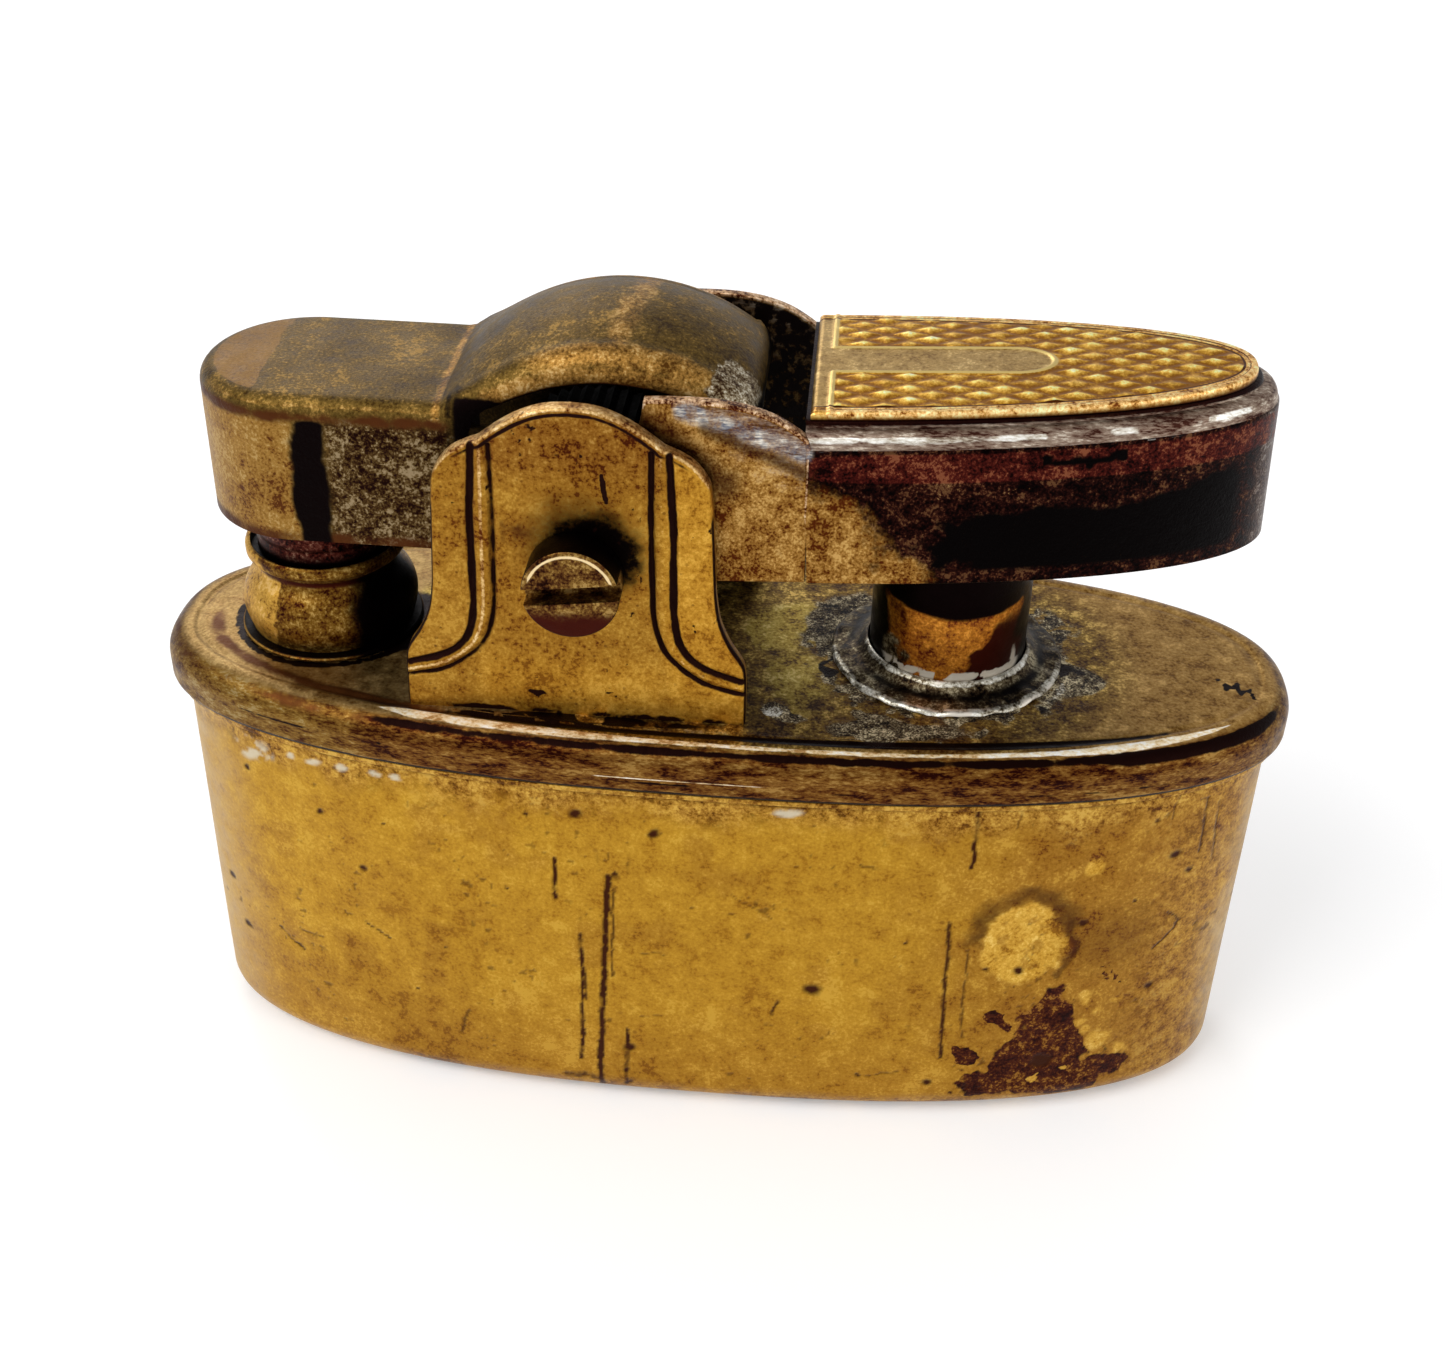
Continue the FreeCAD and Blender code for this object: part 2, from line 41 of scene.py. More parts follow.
# ------------------------------------------------------------------ dimensions (mm)
OV_A, OV_B, OV_N = 28.5, 10.15, 2.43
RIM_Z0, TOP_Z, RIM_R = 21.37, 23.96, 1.25
WALL_IN, TANK_T, FLOOR_T, EDGE_R = 0.75, 0.7, 0.9, 1.8
ST_X, ST_Y, ST_T = -6.45, 7.5, 0.8
AX, AZ = -6.30, 31.75
HEAD_R, HEAD_H = 2.24, 1.9
WX, SX, FILL_X = -20.1, 11.28, 17.0
LV_X0, LV_TIP, LV_W, LV_N, LV_T = 4.0, 25.35, 6.35, 2.25, 0.6
LV_ZB, LV_ZT = 31.30, 39.15
PL_X0, PL_TIP, PL_W, PL_T = 4.2, 24.25, 5.45, 0.45
LV_TILT = math.radians(3.0)
ARM_W, ARM_T, ARM_ZB, ARM_ZT = 5.0, 0.6, 31.2, 38.6
HD_X, HD_Z, HD_R, HD_RI = -5.0, 32.2, 10.05, 8.5
PX, PZ = -1.90, 27.40

# ------------------------------------------------------------------ camera
AZM, EL, ROLL, DIST = 0.069, 0.594, 0.025, 99.257
TGT = Vector((-0.043, 0.738, 20.990))
back = Vector((math.sin(AZM) * math.cos(EL), -math.cos(AZM) * math.cos(EL), math.sin(EL)))
right = Vector((math.cos(AZM), math.sin(AZM), 0))
up = back.cross(right)
r2 = math.cos(ROLL) * right + math.sin(ROLL) * up
u2 = -math.sin(ROLL) * right + math.cos(ROLL) * up
cam_d = bpy.data.cameras.new("camera")
cam_d.sensor_fit = "HORIZONTAL"
cam_d.sensor_width = 36.0
cam_d.lens = 1904.5 / 1445.0 * 36.0
cam_d.clip_start = 0.001
cam_d.clip_end = 10.0
cam = bpy.data.objects.new("camera", cam_d)
scene.collection.objects.link(cam)
loc = (TGT + back * DIST) * MM
cam.matrix_world = Matrix(((r2.x, u2.x, back.x, loc.x), (r2.y, u2.y, back.y, loc.y),
                           (r2.z, u2.z, back.z, loc.z), (0, 0, 0, 1)))
scene.camera = cam


# ------------------------------------------------------------------ mesh helpers
def mesh_obj(name, verts, faces, mats, angle=40, attrs=None, matidx=None, flip_check=True):
    me = bpy.data.meshes.new(name)
    me.from_pydata([(float(a) * MM, float(b) * MM, float(c) * MM) for a, b, c in verts], [], faces)
    me.validate()
    if attrs:
        for k, vals in attrs.items():
            a = me.attributes.new(k, "FLOAT", "POINT")
            a.data.foreach_set("value", np.asarray(vals, np.float32))
    ob = bpy.data.objects.new(name, me)
    scene.collection.objects.link(ob)
    for m in (mats if isinstance(mats, (list, tuple)) else [mats]):
        me.materials.append(m)
    if matidx is not None:
        me.polygons.foreach_set("material_index", matidx)
    bm = bmesh.new()
    bm.from_mesh(me)
    bmesh.ops.remove_doubles(bm, verts=bm.verts, dist=1e-7)
    bmesh.ops.recalc_face_normals(bm, faces=bm.faces)
    bm.to_mesh(me)
    bm.free()
    me.shade_smooth()
    me.set_sharp_from_angle(angle=math.radians(angle))
    return ob


def apply_mods(ob):
    bpy.context.view_layer.update()
    dg = bpy.context.evaluated_depsgraph_get()
    me = bpy.data.meshes.new_from_object(ob.evaluated_get(dg), preserve_all_data_layers=True, depsgraph=dg)
    ob.modifiers.clear()
    old = ob.data
    ob.data = me
    me.name = ob.name
    bpy.data.meshes.remove(old)


def solidify(ob, t, offset=-1.0):
    m = ob.modifiers.new("s", "SOLIDIFY")
    m.thickness = t * MM
    m.offset = offset
    m.use_even_offset = True
    apply_mods(ob)


def resmooth(ob, angle=40):
    ob.data.shade_smooth()
    ob.data.set_sharp_from_angle(angle=math.radians(angle))


def grid_faces(nr, nc, closed=False, base=0):
    f = []
    for i in range(nr - 1):
        for j in range(nc if closed else nc - 1):
            k = (j + 1) % nc
            f.append((base + i * nc + j, base + i * nc + k, base + (i + 1) * nc + k, base + (i + 1) * nc + j))
    return f


_TAB = {}


def vn(x, y, s, seed):
    """smooth value noise 0..1"""
    if seed not in _TAB:
        _TAB[seed] = np.random.RandomState(seed).rand(256, 256)
    t = _TAB[seed]
    x = np.asarray(x, float) * s + 512.0
    y = np.asarray(y, float) * s + 512.0
    xi = np.floor(x).astype(int); yi = np.floor(y).astype(int)
    fx = x - xi; fy = y - yi
    fx = fx * fx * (3 - 2 * fx); fy = fy * fy * (3 - 2 * fy)
    a = t[xi % 256, yi % 256]; b = t[(xi + 1) % 256, yi % 256]
    c = t[xi % 256, (yi + 1) % 256]; d = t[(xi + 1) % 256, (yi + 1) % 256]
    return (a * (1 - fx) + b * fx) * (1 - fy) + (c * (1 - fx) + d * fx) * fy


def fbm(x, y, s, o=4, seed=0, r=0.55):
    v = 0.0; w = 1.0; t = 0.0
    for k in range(o):
        v = v + w * vn(x, y, s * 2 ** k, seed + k)
        t += w; w *= r
    v = v / t
    return np.clip((v - 0.5) * 1.6 + 0.5, 0, 1)


def sst(v, a, b):
    """smoothstep from a to b (a may be above b)"""
    t = np.clip((np.asarray(v, float) - a) / (b - a), 0, 1)
    return t * t * (3 - 2 * t)


def blob(x, y, cx, cy, rx, ry, soft=0.5):
    return sst(np.hypot((x - cx) / rx, (y - cy) / ry), 1.0, 1.0 - soft)


def stroke(x, y, pts, w, soft=0.6):
    return sst(poly_dist(x, y, pts), w, w * (1 - soft))


class Oval:
    def __init__(self, nb, nf):
        t = np.linspace(0, 2 * math.pi, 8001)
        c, s = np.cos(t), np.sin(t)
        x = OV_A * np.sign(c) * np.abs(c) ** (2 / OV_N)
        y = OV_B * np.sign(s) * np.abs(s) ** (2 / OV_N)
        L = np.concatenate([[0], np.cumsum(np.hypot(np.diff(x), np.diff(y)))])
        q = np.concatenate([np.linspace(0, L[-1] / 2, nb, endpoint=False), np.linspace(L[-1] / 2, L[-1], nf, endpoint=False)])
        self.x = np.interp(q, L, x); self.y = np.interp(q, L, y)
        gx = np.sign(self.x) * np.abs(self.x / OV_A) ** (OV_N - 1) / OV_A
        gy = np.sign(self.y) * np.abs(self.y / OV_B) ** (OV_N - 1) / OV_B
        g_ = np.hypot(gx, gy)
        self.nx, self.ny, self.n = gx / g_, gy / g_, nb + nf

    def ring(self, off, z):
        return [(self.x[i] - off * self.nx[i], self.y[i] - off * self.ny[i], z) for i in range(self.n)]


def circle(cx, cy, r, z, n=64):
    return [(cx + r * math.cos(2 * math.pi * i / n), cy + r * math.sin(2 * math.pi * i / n), z) for i in range(n)]


def fill_flat(loops, z):
    """Triangles of a flat region: first loop outer, the rest holes. Returns faces as index tuples into the joined loops."""
    pts, edges, k = [], [], 0
    for lp in loops:
        n = len(lp)
        pts += [Vector((p[0], p[1])) for p in lp]
        edges += [(k + i, k + (i + 1) % n) for i in range(n)]
        k += n
    bm = bmesh.new()
    vs = [bm.verts.new((p.x, p.y, 0)) for p in pts]
    es = [bm.edges.new((vs[a], vs[b])) for a, b in edges]
    bm.verts.index_update()
    r = bmesh.ops.triangle_fill(bm, use_beauty=True, use_dissolve=False, edges=es, normal=(0, 0, 1))
    out = [tuple(v.index for v in f.verts) for f in bm.faces]
    bm.free()
    return out


def fill_dense(loops, z, spacing, keep):
    """Triangles over a flat region with inner points. keep(x, y) says whether a point lies in the region with a margin."""
    pts, edges, k = [], [], 0
    for lp in loops:
        n = len(lp)
        pts += [Vector((p[0], p[1])) for p in lp]
        edges += [(k + i, k + (i + 1) % n) for i in range(n)]
        k += n
    nb = len(pts)
    rs = np.random.RandomState(3)
    for gx in np.arange(-28, 28, spacing):
        for gy in np.arange(-10, 10, spacing):
            px_, py_ = gx + rs.uniform(-.2, .2) * spacing, gy + rs.uniform(-.2, .2) * spacing
            if keep(px_, py_, spacing * 0.6):
                pts.append(Vector((px_, py_)))
    res = delaunay_2d_cdt(pts, edges, [], 0, 1e-5)
    vo, fo, orig = res[0], res[2], res[3]
    m = [o[0] for o in orig]
    faces = []
    for f in fo:
        cx = sum(vo[i].x for i in f) / 3; cy = sum(vo[i].y for i in f) / 3
        if keep(cx, cy, 0.0):
            faces.append(tuple(m[i] for i in f))
    return [(p.x, p.y, z) for p in pts[nb:]], faces


def tube_between(nloop, base_a, base_b):
    return [(base_a + i, base_a + (i + 1) % nloop, base_b + (i + 1) % nloop, base_b + i) for i in range(nloop)]


def oval_shell(name, ov, prof, holes, z_first, z_last, mat, warp=None, angle=38, attrs_fn=None, dense=None):
    """Closed shell: rings along prof from the outer flat face to the inner flat face, joined by hole walls."""
    verts, faces = [], []
    N = ov.n
    for off, z in prof:
        verts += ov.ring(off, z)
    faces += grid_faces(len(prof), N, True)
    first, last = 0, (len(prof) - 1) * N
    ha, hb = [], []
    for (cx, cy, r) in holes:
        ha.append(len(verts)); verts += circle(cx, cy, r, z_first)
        hb.append(len(verts)); verts += circle(cx, cy, r, z_last)
    for which, z, hs in ((first, z_first, ha), (last, z_last, hb)):
        loops = [verts[which:which + N]] + [verts[h:h + 64] for h in hs]
        idx = list(range(which, which + N))
        for h in hs:
            idx += list(range(h, h + 64))
        if dense and which == first:
            extra, fs = fill_dense(loops, z, *dense)
            base = len(verts)
            verts += extra
            idx += list(range(base, base + len(extra)))
        else:
            fs = fill_flat(loops, z)
        for f in fs:
            faces.append(tuple(idx[i] for i in f))
    for a, b in zip(ha, hb):
        faces += tube_between(64, a, b)
    if warp:
        verts = [warp(v) for v in verts]
    attrs = attrs_fn(np.array(verts)) if attrs_fn else None
    return mesh_obj(name, verts, faces, mat, angle, attrs)


def lathe(name, prof, cx, mat, n=128, axis="z", closed=True, angle=35, cz=0.0, attrs_fn=None):
    verts = []
    for r, h in prof:
        for i in range(n):
            a = 2 * math.pi * i / n
            if axis == "z":
                verts.append((cx + r * math.cos(a), r * math.sin(a), h))
            else:
                verts.append((cx + r * math.cos(a), h, cz + r * math.sin(a)))
    nr = len(prof)
    faces = grid_faces(nr, n, True)
    if closed:
        faces += [((nr - 1) * n + i, (nr - 1) * n + (i + 1) % n, (i + 1) % n, i) for i in range(n)]
    attrs = attrs_fn(verts) if attrs_fn else None
    return mesh_obj(name, verts, faces, mat, angle, attrs)


def rnd(p0, c, p1, n=6):
    """Rounded corner: quadratic through control c."""
    out = []
    for i in range(n + 1):
        t = i / n
        out.append(((1 - t) ** 2 * p0[0] + 2 * t * (1 - t) * c[0] + t * t * p1[0],
                    (1 - t) ** 2 * p0[1] + 2 * t * (1 - t) * c[1] + t * t * p1[1]))
    return out


def poly_dist(px, pz, line):
    """Distance from points to a polyline, numpy."""
    d = np.full(px.shape, 1e9)
    for (ax, az), (bx, bz) in zip(line[:-1], line[1:]):
        dx, dz = bx - ax, bz - az
        L2 = dx * dx + dz * dz + 1e-12
        t = np.clip(((px - ax) * dx + (pz - az) * dz) / L2, 0, 1)
        d = np.minimum(d, np.hypot(px - ax - t * dx, pz - az - t * dz))
    return d


def catmull(pts, n=12, closed=False):
    out = []
    P = [np.array(p, float) for p in pts]
    for i in range(len(P) - 1):
        p0 = P[i - 1] if i > 0 else 2 * P[0] - P[1]
        p1, p2 = P[i], P[i + 1]
        p3 = P[i + 2] if i + 2 < len(P) else 2 * P[-1] - P[-2]
        for k in range(n):
            t = k / n
            out.append(tuple(0.5 * ((2 * p1) + (-p0 + p2) * t + (2 * p0 - 5 * p1 + 4 * p2 - p3) * t * t
                                    + (-p0 + 3 * p1 - 3 * p2 + p3) * t ** 3)))
    out.append(tuple(P[-1]))
    return out


# ------------------------------------------------------------------ material helper
class Mat:
    def __init__(self, name):
        self.mat = bpy.data.materials.new(name)
        self.mat.use_nodes = True
        self.nt = self.mat.node_tree
        self.b = self.nt.nodes["Principled BSDF"]
        tc = self.nt.nodes.new("ShaderNodeTexCoord")
        mp = self.nt.nodes.new("ShaderNodeMapping")
        mp.inputs["Scale"].default_value = (1000, 1000, 1000)
        self.nt.links.new(tc.outputs["Object"], mp.inputs["Vector"])
        self.co = mp.outputs["Vector"]
        sp = self.nt.nodes.new("ShaderNodeSeparateXYZ")
        self.nt.links.new(self.co, sp.inputs[0])
        self.x, self.y, self.z = sp.outputs[0], sp.outputs[1], sp.outputs[2]

    def put(self, sock, v):
        if hasattr(v, "is_output") or isinstance(v, bpy.types.NodeSocket):
            self.nt.links.new(v, sock)
        else:
            sock.default_value = v

    def stretch(self, s):
        n = self.nt.nodes.new("ShaderNodeMapping")
        n.inputs["Scale"].default_value = s
        self.nt.links.new(self.co, n.inputs["Vector"])
        return n.outputs["Vector"]

    def noise(self, scale, detail=4.0, rough=0.55, dist=0.0, vec=None, off=0.0):
        n = self.nt.nodes.new("ShaderNodeTexNoise")
        v = vec or self.co
        if off:
            a = self.nt.nodes.new("ShaderNodeVectorMath"); a.operation = "ADD"
            self.nt.links.new(v, a.inputs[0]); a.inputs[1].default_value = (off, off * 1.7, off * 0.6)
            v = a.outputs[0]
        self.nt.links.new(v, n.inputs["Vector"])
        n.inputs["Scale"].default_value = scale
        n.inputs["Detail"].default_value = detail
        n.inputs["Roughness"].default_value = rough
        n.inputs["Distortion"].default_value = dist
        return n.outputs["Fac"]

    def voronoi(self, scale, feature="F1", vec=None):
        n = self.nt.nodes.new("ShaderNodeTexVoronoi")
        n.feature = feature
        self.nt.links.new(vec or self.co, n.inputs["Vector"])
        n.inputs["Scale"].default_value = scale
        return n.outputs["Distance"]

    def m(self, op, a, b=None, c=None, clamp=False):
        n = self.nt.nodes.new("ShaderNodeMath")
        n.operation = op
        n.use_clamp = clamp
        self.put(n.inputs[0], a)
        if b is not None:
            self.put(n.inputs[1], b)
        if c is not None:
            self.put(n.inputs[2], c)
        return n.outputs[0]

    def step(self, v, lo, hi, a=0.0, b=1.0):
        """smoothstep map of v from lo..hi to a..b"""
        n = self.nt.nodes.new("ShaderNodeMapRange")
        n.interpolation_type = "SMOOTHSTEP"
        self.put(n.inputs["Value"], v)
        n.inputs["From Min"].default_value = lo
        n.inputs["From Max"].default_value = hi
        n.inputs["To Min"].default_value = a
        n.inputs["To Max"].default_value = b
        return n.outputs["Result"]

    def mix(self, f, a, b, mode="MIX"):
        n = self.nt.nodes.new("ShaderNodeMix")
        n.data_type = "RGBA"
        n.blend_type = mode
        self.put(n.inputs[0], f)
        self.put(n.inputs[6], a if not isinstance(a, tuple) else (*a, 1.0) if len(a) == 3 else a)
        self.put(n.inputs[7], b if not isinstance(b, tuple) else (*b, 1.0) if len(b) == 3 else b)
        return n.outputs[2]

    def ramp(self, f, cols, pos=(0.03, 0.15, 0.35, 0.5, 0.65, 0.85, 0.97)):
        n = self.nt.nodes.new("ShaderNodeValToRGB")
        self.nt.links.new(f, n.inputs[0])
        el = n.color_ramp.elements
        while len(el) > 1:
            el.remove(el[-1])
        el[0].position = pos[0]; el[0].color = (*srgb(*cols[0]), 1)
        for p, c in zip(pos[1:], cols[1:]):
            e_ = el.new(p); e_.color = (*srgb(*c), 1)
        return n.outputs[0]

    def tex3(self, s1=0.25, s2=1.1, s3=4.0, w=(0.30, 0.42, 0.28), seed=0.0, con=0.30, vec=None):
        con = con * 0.62
        s3 = s3 * 1.35
        w = (w[0] * 0.9, w[1] * 0.95, w[2] + w[0] * 0.1 + w[1] * 0.05)
        """three noises summed and spread over 0..1"""
        a = self.noise(s1, 3, 0.5, off=1 + seed, vec=vec)
        b = self.noise(s2, 5, 0.62, off=5 + seed, vec=vec)
        c = self.noise(s3, 4, 0.65, off=9 + seed, vec=vec)
        v = self.m("ADD", self.m("ADD", self.m("MULTIPLY", a, w[0]), self.m("MULTIPLY", b, w[1])), self.m("MULTIPLY", c, w[2]))
        v = self.m("ADD", self.m("DIVIDE", self.m("SUBTRACT", v, 0.5), con), 0.5, clamp=True)
        return v, a, b, c

    def rag(self, mask, n, k=0.5, lo=0.40, hi=0.62):
        """mask with a ragged edge from noise n"""
        return self.step(self.m("ADD", mask, self.m("MULTIPLY", self.m("SUBTRACT", n, 0.5), k)), lo, hi)

    def attr(self, name):
        n = self.nt.nodes.new("ShaderNodeAttribute")
        n.attribute_name = name
        return n.outputs["Fac"]

    def max(self, *v):
        r = v[0]
        for k in v[1:]:
            r = self.m("MAXIMUM", r, k)
        return r

    def planar(self, axes="xz", jit=0.0, jscale=1.2):
        """point in a plane (others zero), optionally wobbling"""
        key = (axes, jit, jscale)
        if not hasattr(self, "_pl"):
            self._pl = {}
        if key in self._pl:
            return self._pl[key]
        c = self.nt.nodes.new("ShaderNodeCombineXYZ")
        for i, a in enumerate("xyz"):
            if a in axes:
                self.nt.links.new({"x": self.x, "y": self.y, "z": self.z}[a], c.inputs[i])
        v = c.outputs[0]
        if jit:
            n = self.nt.nodes.new("ShaderNodeTexNoise")
            self.nt.links.new(self.co, n.inputs["Vector"])
            n.inputs["Scale"].default_value = jscale
            n.inputs["Detail"].default_value = 5
            s = self.nt.nodes.new("ShaderNodeVectorMath"); s.operation = "SUBTRACT"
            self.nt.links.new(n.outputs["Color"], s.inputs[0]); s.inputs[1].default_value = (0.5, 0.5, 0.5)
            k = self.nt.nodes.new("ShaderNodeVectorMath"); k.operation = "SCALE"
            self.nt.links.new(s.outputs[0], k.inputs[0]); k.inputs["Scale"].default_value = jit
            mu = self.nt.nodes.new("ShaderNodeVectorMath"); mu.operation = "MULTIPLY"
            self.nt.links.new(k.outputs[0], mu.inputs[0])
            mu.inputs[1].default_value = tuple(1.0 if a in axes else 0.0 for a in "xyz")
            ad = self.nt.nodes.new("ShaderNodeVectorMath"); ad.operation = "ADD"
            self.nt.links.new(v, ad.inputs[0]); self.nt.links.new(mu.outputs[0], ad.inputs[1])
            v = ad.outputs[0]
        self._pl[key] = v
        return v

    def seg(self, p, q, w, soft=0.5, axes="xz", jit=0.25, jscale=1.2):
        i, j = ["xyz".index(a) for a in axes]
        A = [0, 0, 0]; B = [0, 0, 0]
        A[i], A[j] = p; B[i], B[j] = q
        v = self.planar(axes, jit, jscale)
        d = [B[k] - A[k] for k in range(3)]
        L2 = sum(k * k for k in d) + 1e-9
        s = self.nt.nodes.new("ShaderNodeVectorMath"); s.operation = "SUBTRACT"
        self.nt.links.new(v, s.inputs[0]); s.inputs[1].default_value = A
        dt = self.nt.nodes.new("ShaderNodeVectorMath"); dt.operation = "DOT_PRODUCT"
        self.nt.links.new(s.outputs[0], dt.inputs[0]); dt.inputs[1].default_value = d
        t = self.m("DIVIDE", dt.outputs["Value"], L2, clamp=True)
        sc = self.nt.nodes.new("ShaderNodeVectorMath"); sc.operation = "SCALE"
        sc.inputs[0].default_value = d; self.nt.links.new(t, sc.inputs["Scale"])
        sb = self.nt.nodes.new("ShaderNodeVectorMath"); sb.operation = "SUBTRACT"
        self.nt.links.new(s.outputs[0], sb.inputs[0]); self.nt.links.new(sc.outputs[0], sb.inputs[1])
        ln = self.nt.nodes.new("ShaderNodeVectorMath"); ln.operation = "LENGTH"
        self.nt.links.new(sb.outputs[0], ln.inputs[0])
        return self.step(ln.outputs["Value"], w, w * (1 - soft), 0.0, 1.0)

    def spot(self, c, r, soft=0.5, axes="xz", jit=0.5, jscale=1.0, sx=1.0, sz=1.0):
        i, j = ["xyz".index(a) for a in axes]
        A = [0, 0, 0]; A[i], A[j] = c
        v = self.planar(axes, jit, jscale)
        s = self.nt.nodes.new("ShaderNodeVectorMath"); s.operation = "SUBTRACT"
        self.nt.links.new(v, s.inputs[0]); s.inputs[1].default_value = A
        mu = self.nt.nodes.new("ShaderNodeVectorMath"); mu.operation = "MULTIPLY"
        self.nt.links.new(s.outputs[0], mu.inputs[0])
        k = [0, 0, 0]; k[i] = sx; k[j] = sz
        mu.inputs[1].default_value = k
        ln = self.nt.nodes.new("ShaderNodeVectorMath"); ln.operation = "LENGTH"
        self.nt.links.new(mu.outputs[0], ln.inputs[0])
        return self.step(ln.outputs["Value"], r, r * (1 - soft), 0.0, 1.0)

    def bump(self, h, dist=0.05, strength=1.0, normal=None):
        n = self.nt.nodes.new("ShaderNodeBump")
        n.inputs["Strength"].default_value = strength
        n.inputs["Distance"].default_value = dist * MM
        self.put(n.inputs["Height"], h)
        if normal is not None:
            self.nt.links.new(normal, n.inputs["Normal"])
        return n.outputs["Normal"]

    def finish(self, color, rough, metal=1.0, normal=None, spec=None):
        self.put(self.b.inputs["Base Color"], color if not isinstance(color, tuple) else (*color, 1.0))
        self.put(self.b.inputs["Roughness"], rough)
        self.put(self.b.inputs["Metallic"], metal)
        self.b.inputs["Specular IOR Level"].default_value = 0.12
        if normal is not None:
            self.nt.links.new(normal, self.b.inputs["Normal"])
        return self.mat


def srgb(r, g, b):
    f = lambda c: (c / 255 / 12.92) if c / 255 <= 0.04045 else ((c / 255 + 0.055) / 1.055) ** 2.4
    return (f(r), f(g), f(b))


# ------------------------------------------------------------------ materials
P_TANK = [(146, 100, 24), (162, 116, 31), (172, 127, 36), (177, 132, 38), (183, 138, 41), (190, 146, 47), (199, 157, 57)]
P_TANKR = [(96, 50, 11), (131, 84, 22), (144, 98, 27), (150, 105, 32), (157, 111, 36), (168, 122, 43), (186, 142, 54)]
P_BAND = [(70, 30, 7), (112, 68, 18), (142, 99, 34), (160, 116, 46), (176, 132, 54), (192, 148, 60), (206, 166, 78)]
P_RIM = [(52, 12, 5), (86, 42, 12), (112, 70, 26), (126, 84, 34), (140, 98, 42), (158, 116, 54), (184, 144, 78)]
P_RIML = [(83, 37, 8), (108, 66, 20), (132, 92, 34), (148, 106, 42), (162, 120, 50), (176, 136, 62), (194, 164, 104)]
P_TOPL = [(98, 68, 27), (112, 84, 42), (126, 98, 54), (134, 107, 61), (142, 114, 68), (152, 124, 76), (166, 138, 88)]
P_TOPR = [(90, 60, 18), (112, 80, 34), (126, 95, 47), (133, 102, 53), (141, 110, 60), (152, 120, 69), (166, 134, 81)]
P_TOPM = [(30, 8, 3), (52, 32, 11), (80, 56, 22), (98, 74, 29), (118, 92, 38), (146, 120, 58), (190, 160, 88)]
P_CRACK = [(10, 6, 5), (34, 24, 14), (60, 46, 30), (78, 66, 46), (98, 86, 64), (130, 118, 92), (176, 164, 134)]
P_STD = [(92, 48, 12), (128, 82, 22), (142, 97, 29), (150, 105, 33), (158, 113, 38), (168, 123, 44), (182, 138, 54)]
P_ARM = [(84, 62, 36), (98, 77, 45), (110, 88, 52), (118, 95, 56), (127, 103, 61), (140, 115, 70), (162, 136, 86)]
P_ARMS = [(27, 6, 3), (46, 22, 9), (68, 44, 18), (84, 60, 28), (102, 78, 42), (130, 106, 68), (166, 144, 108)]
P_ARMC = [(60, 22, 8), (92, 52, 20), (128, 90, 42), (144, 110, 58), (150, 118, 64), (160, 130, 78), (196, 168, 120)]
P_OR = [(86, 52, 14), (110, 76, 32), (132, 96, 42), (152, 110, 50), (168, 124, 60), (186, 146, 80), (204, 168, 108)]
P_LEVL = [(72, 29, 6), (103, 61, 19), (126, 85, 33), (141, 100, 43), (154, 112, 53), (175, 133, 69), (194, 154, 88)]
# dark palette of the lever side: patina plus painted dark reflection of the plate below
P_LEV_DARK_PATINA_REFLECTION = [(4, 1, 1), (12, 2, 2), (22, 5, 4), (36, 9, 6), (52, 18, 12), (82, 40, 24), (124, 82, 50)]
P_LEVB = [(12, 2, 2), (36, 8, 6), (50, 12, 9), (60, 17, 12), (72, 24, 17), (92, 40, 26), (122, 70, 46)]
P_SHO = [(52, 30, 20), (86, 70, 58), (106, 90, 78), (120, 105, 92), (134, 120, 106), (164, 150, 132), (226, 216, 202)]
P_FIELD = [(100, 62, 10), (130, 92, 26), (152, 115, 44), (168, 132, 58), (186, 151, 76), (208, 176, 104), (238, 212, 154)]
P_CART = [(126, 92, 40), (145, 114, 60), (157, 126, 72), (164, 133, 78), (171, 140, 85), (181, 151, 96), (204, 176, 120)]
P_EDGE = [(94, 47, 17), (150, 104, 46), (180, 136, 74), (200, 158, 98), (214, 176, 116), (228, 193, 135), (240, 210, 158)]
P_POST = [(70, 28, 12), (98, 52, 20), (118, 70, 24), (132, 82, 26), (144, 92, 30), (156, 102, 36), (172, 120, 48)]
P_WKL = [(93, 58, 13), (134, 98, 38), (156, 116, 48), (164, 126, 52), (171, 132, 57), (178, 140, 66), (186, 152, 90)]
P_WKM = [(36, 8, 3), (58, 28, 8), (80, 50, 16), (93, 63, 18), (104, 74, 26), (122, 92, 41), (148, 120, 64)]
P_SCR = [(24, 6, 3), (48, 20, 8), (74, 44, 18), (92, 60, 26), (108, 76, 34), (132, 100, 46), (160, 128, 72)]
P_CUP = [(10, 3, 3), (34, 8, 6), (56, 18, 12), (68, 28, 20), (82, 42, 32), (104, 66, 52), (140, 104, 84)]


def gain(P, k):
    return [tuple(min(255, c * k) for c in q) for q in P]


P_TOPL, P_TOPR, P_TOPM, P_CRACK_L = gain(P_TOPL, 1.10), gain(P_TOPR, 1.22), gain(P_TOPM, 1.15), gain(P_CRACK, 1.22)
P_ARM = [(66, 46, 17), (84, 64, 28), (98, 77, 38), (106, 84, 43), (116, 92, 49), (134, 108, 62), (172, 138, 82)]
P_ARMC = [(80, 42, 14), (112, 72, 28), (132, 94, 40), (142, 104, 46), (150, 112, 52), (158, 122, 62), (176, 144, 88)]
P_FIELD, P_CART, P_EDGE, P_ARM, P_OR = gain(P_FIELD, 1.40), gain(P_CART, 1.10), gain(P_EDGE, 1.22), gain(P_ARM, 0.90), gain(P_OR, 0.96)
P_RIM = [(40, 8, 4), (76, 34, 9), (104, 60, 20), (120, 76, 28), (134, 90, 36), (150, 106, 46), (176, 134, 68)]
P_ARMS = gain(P_ARMS, 0.88)
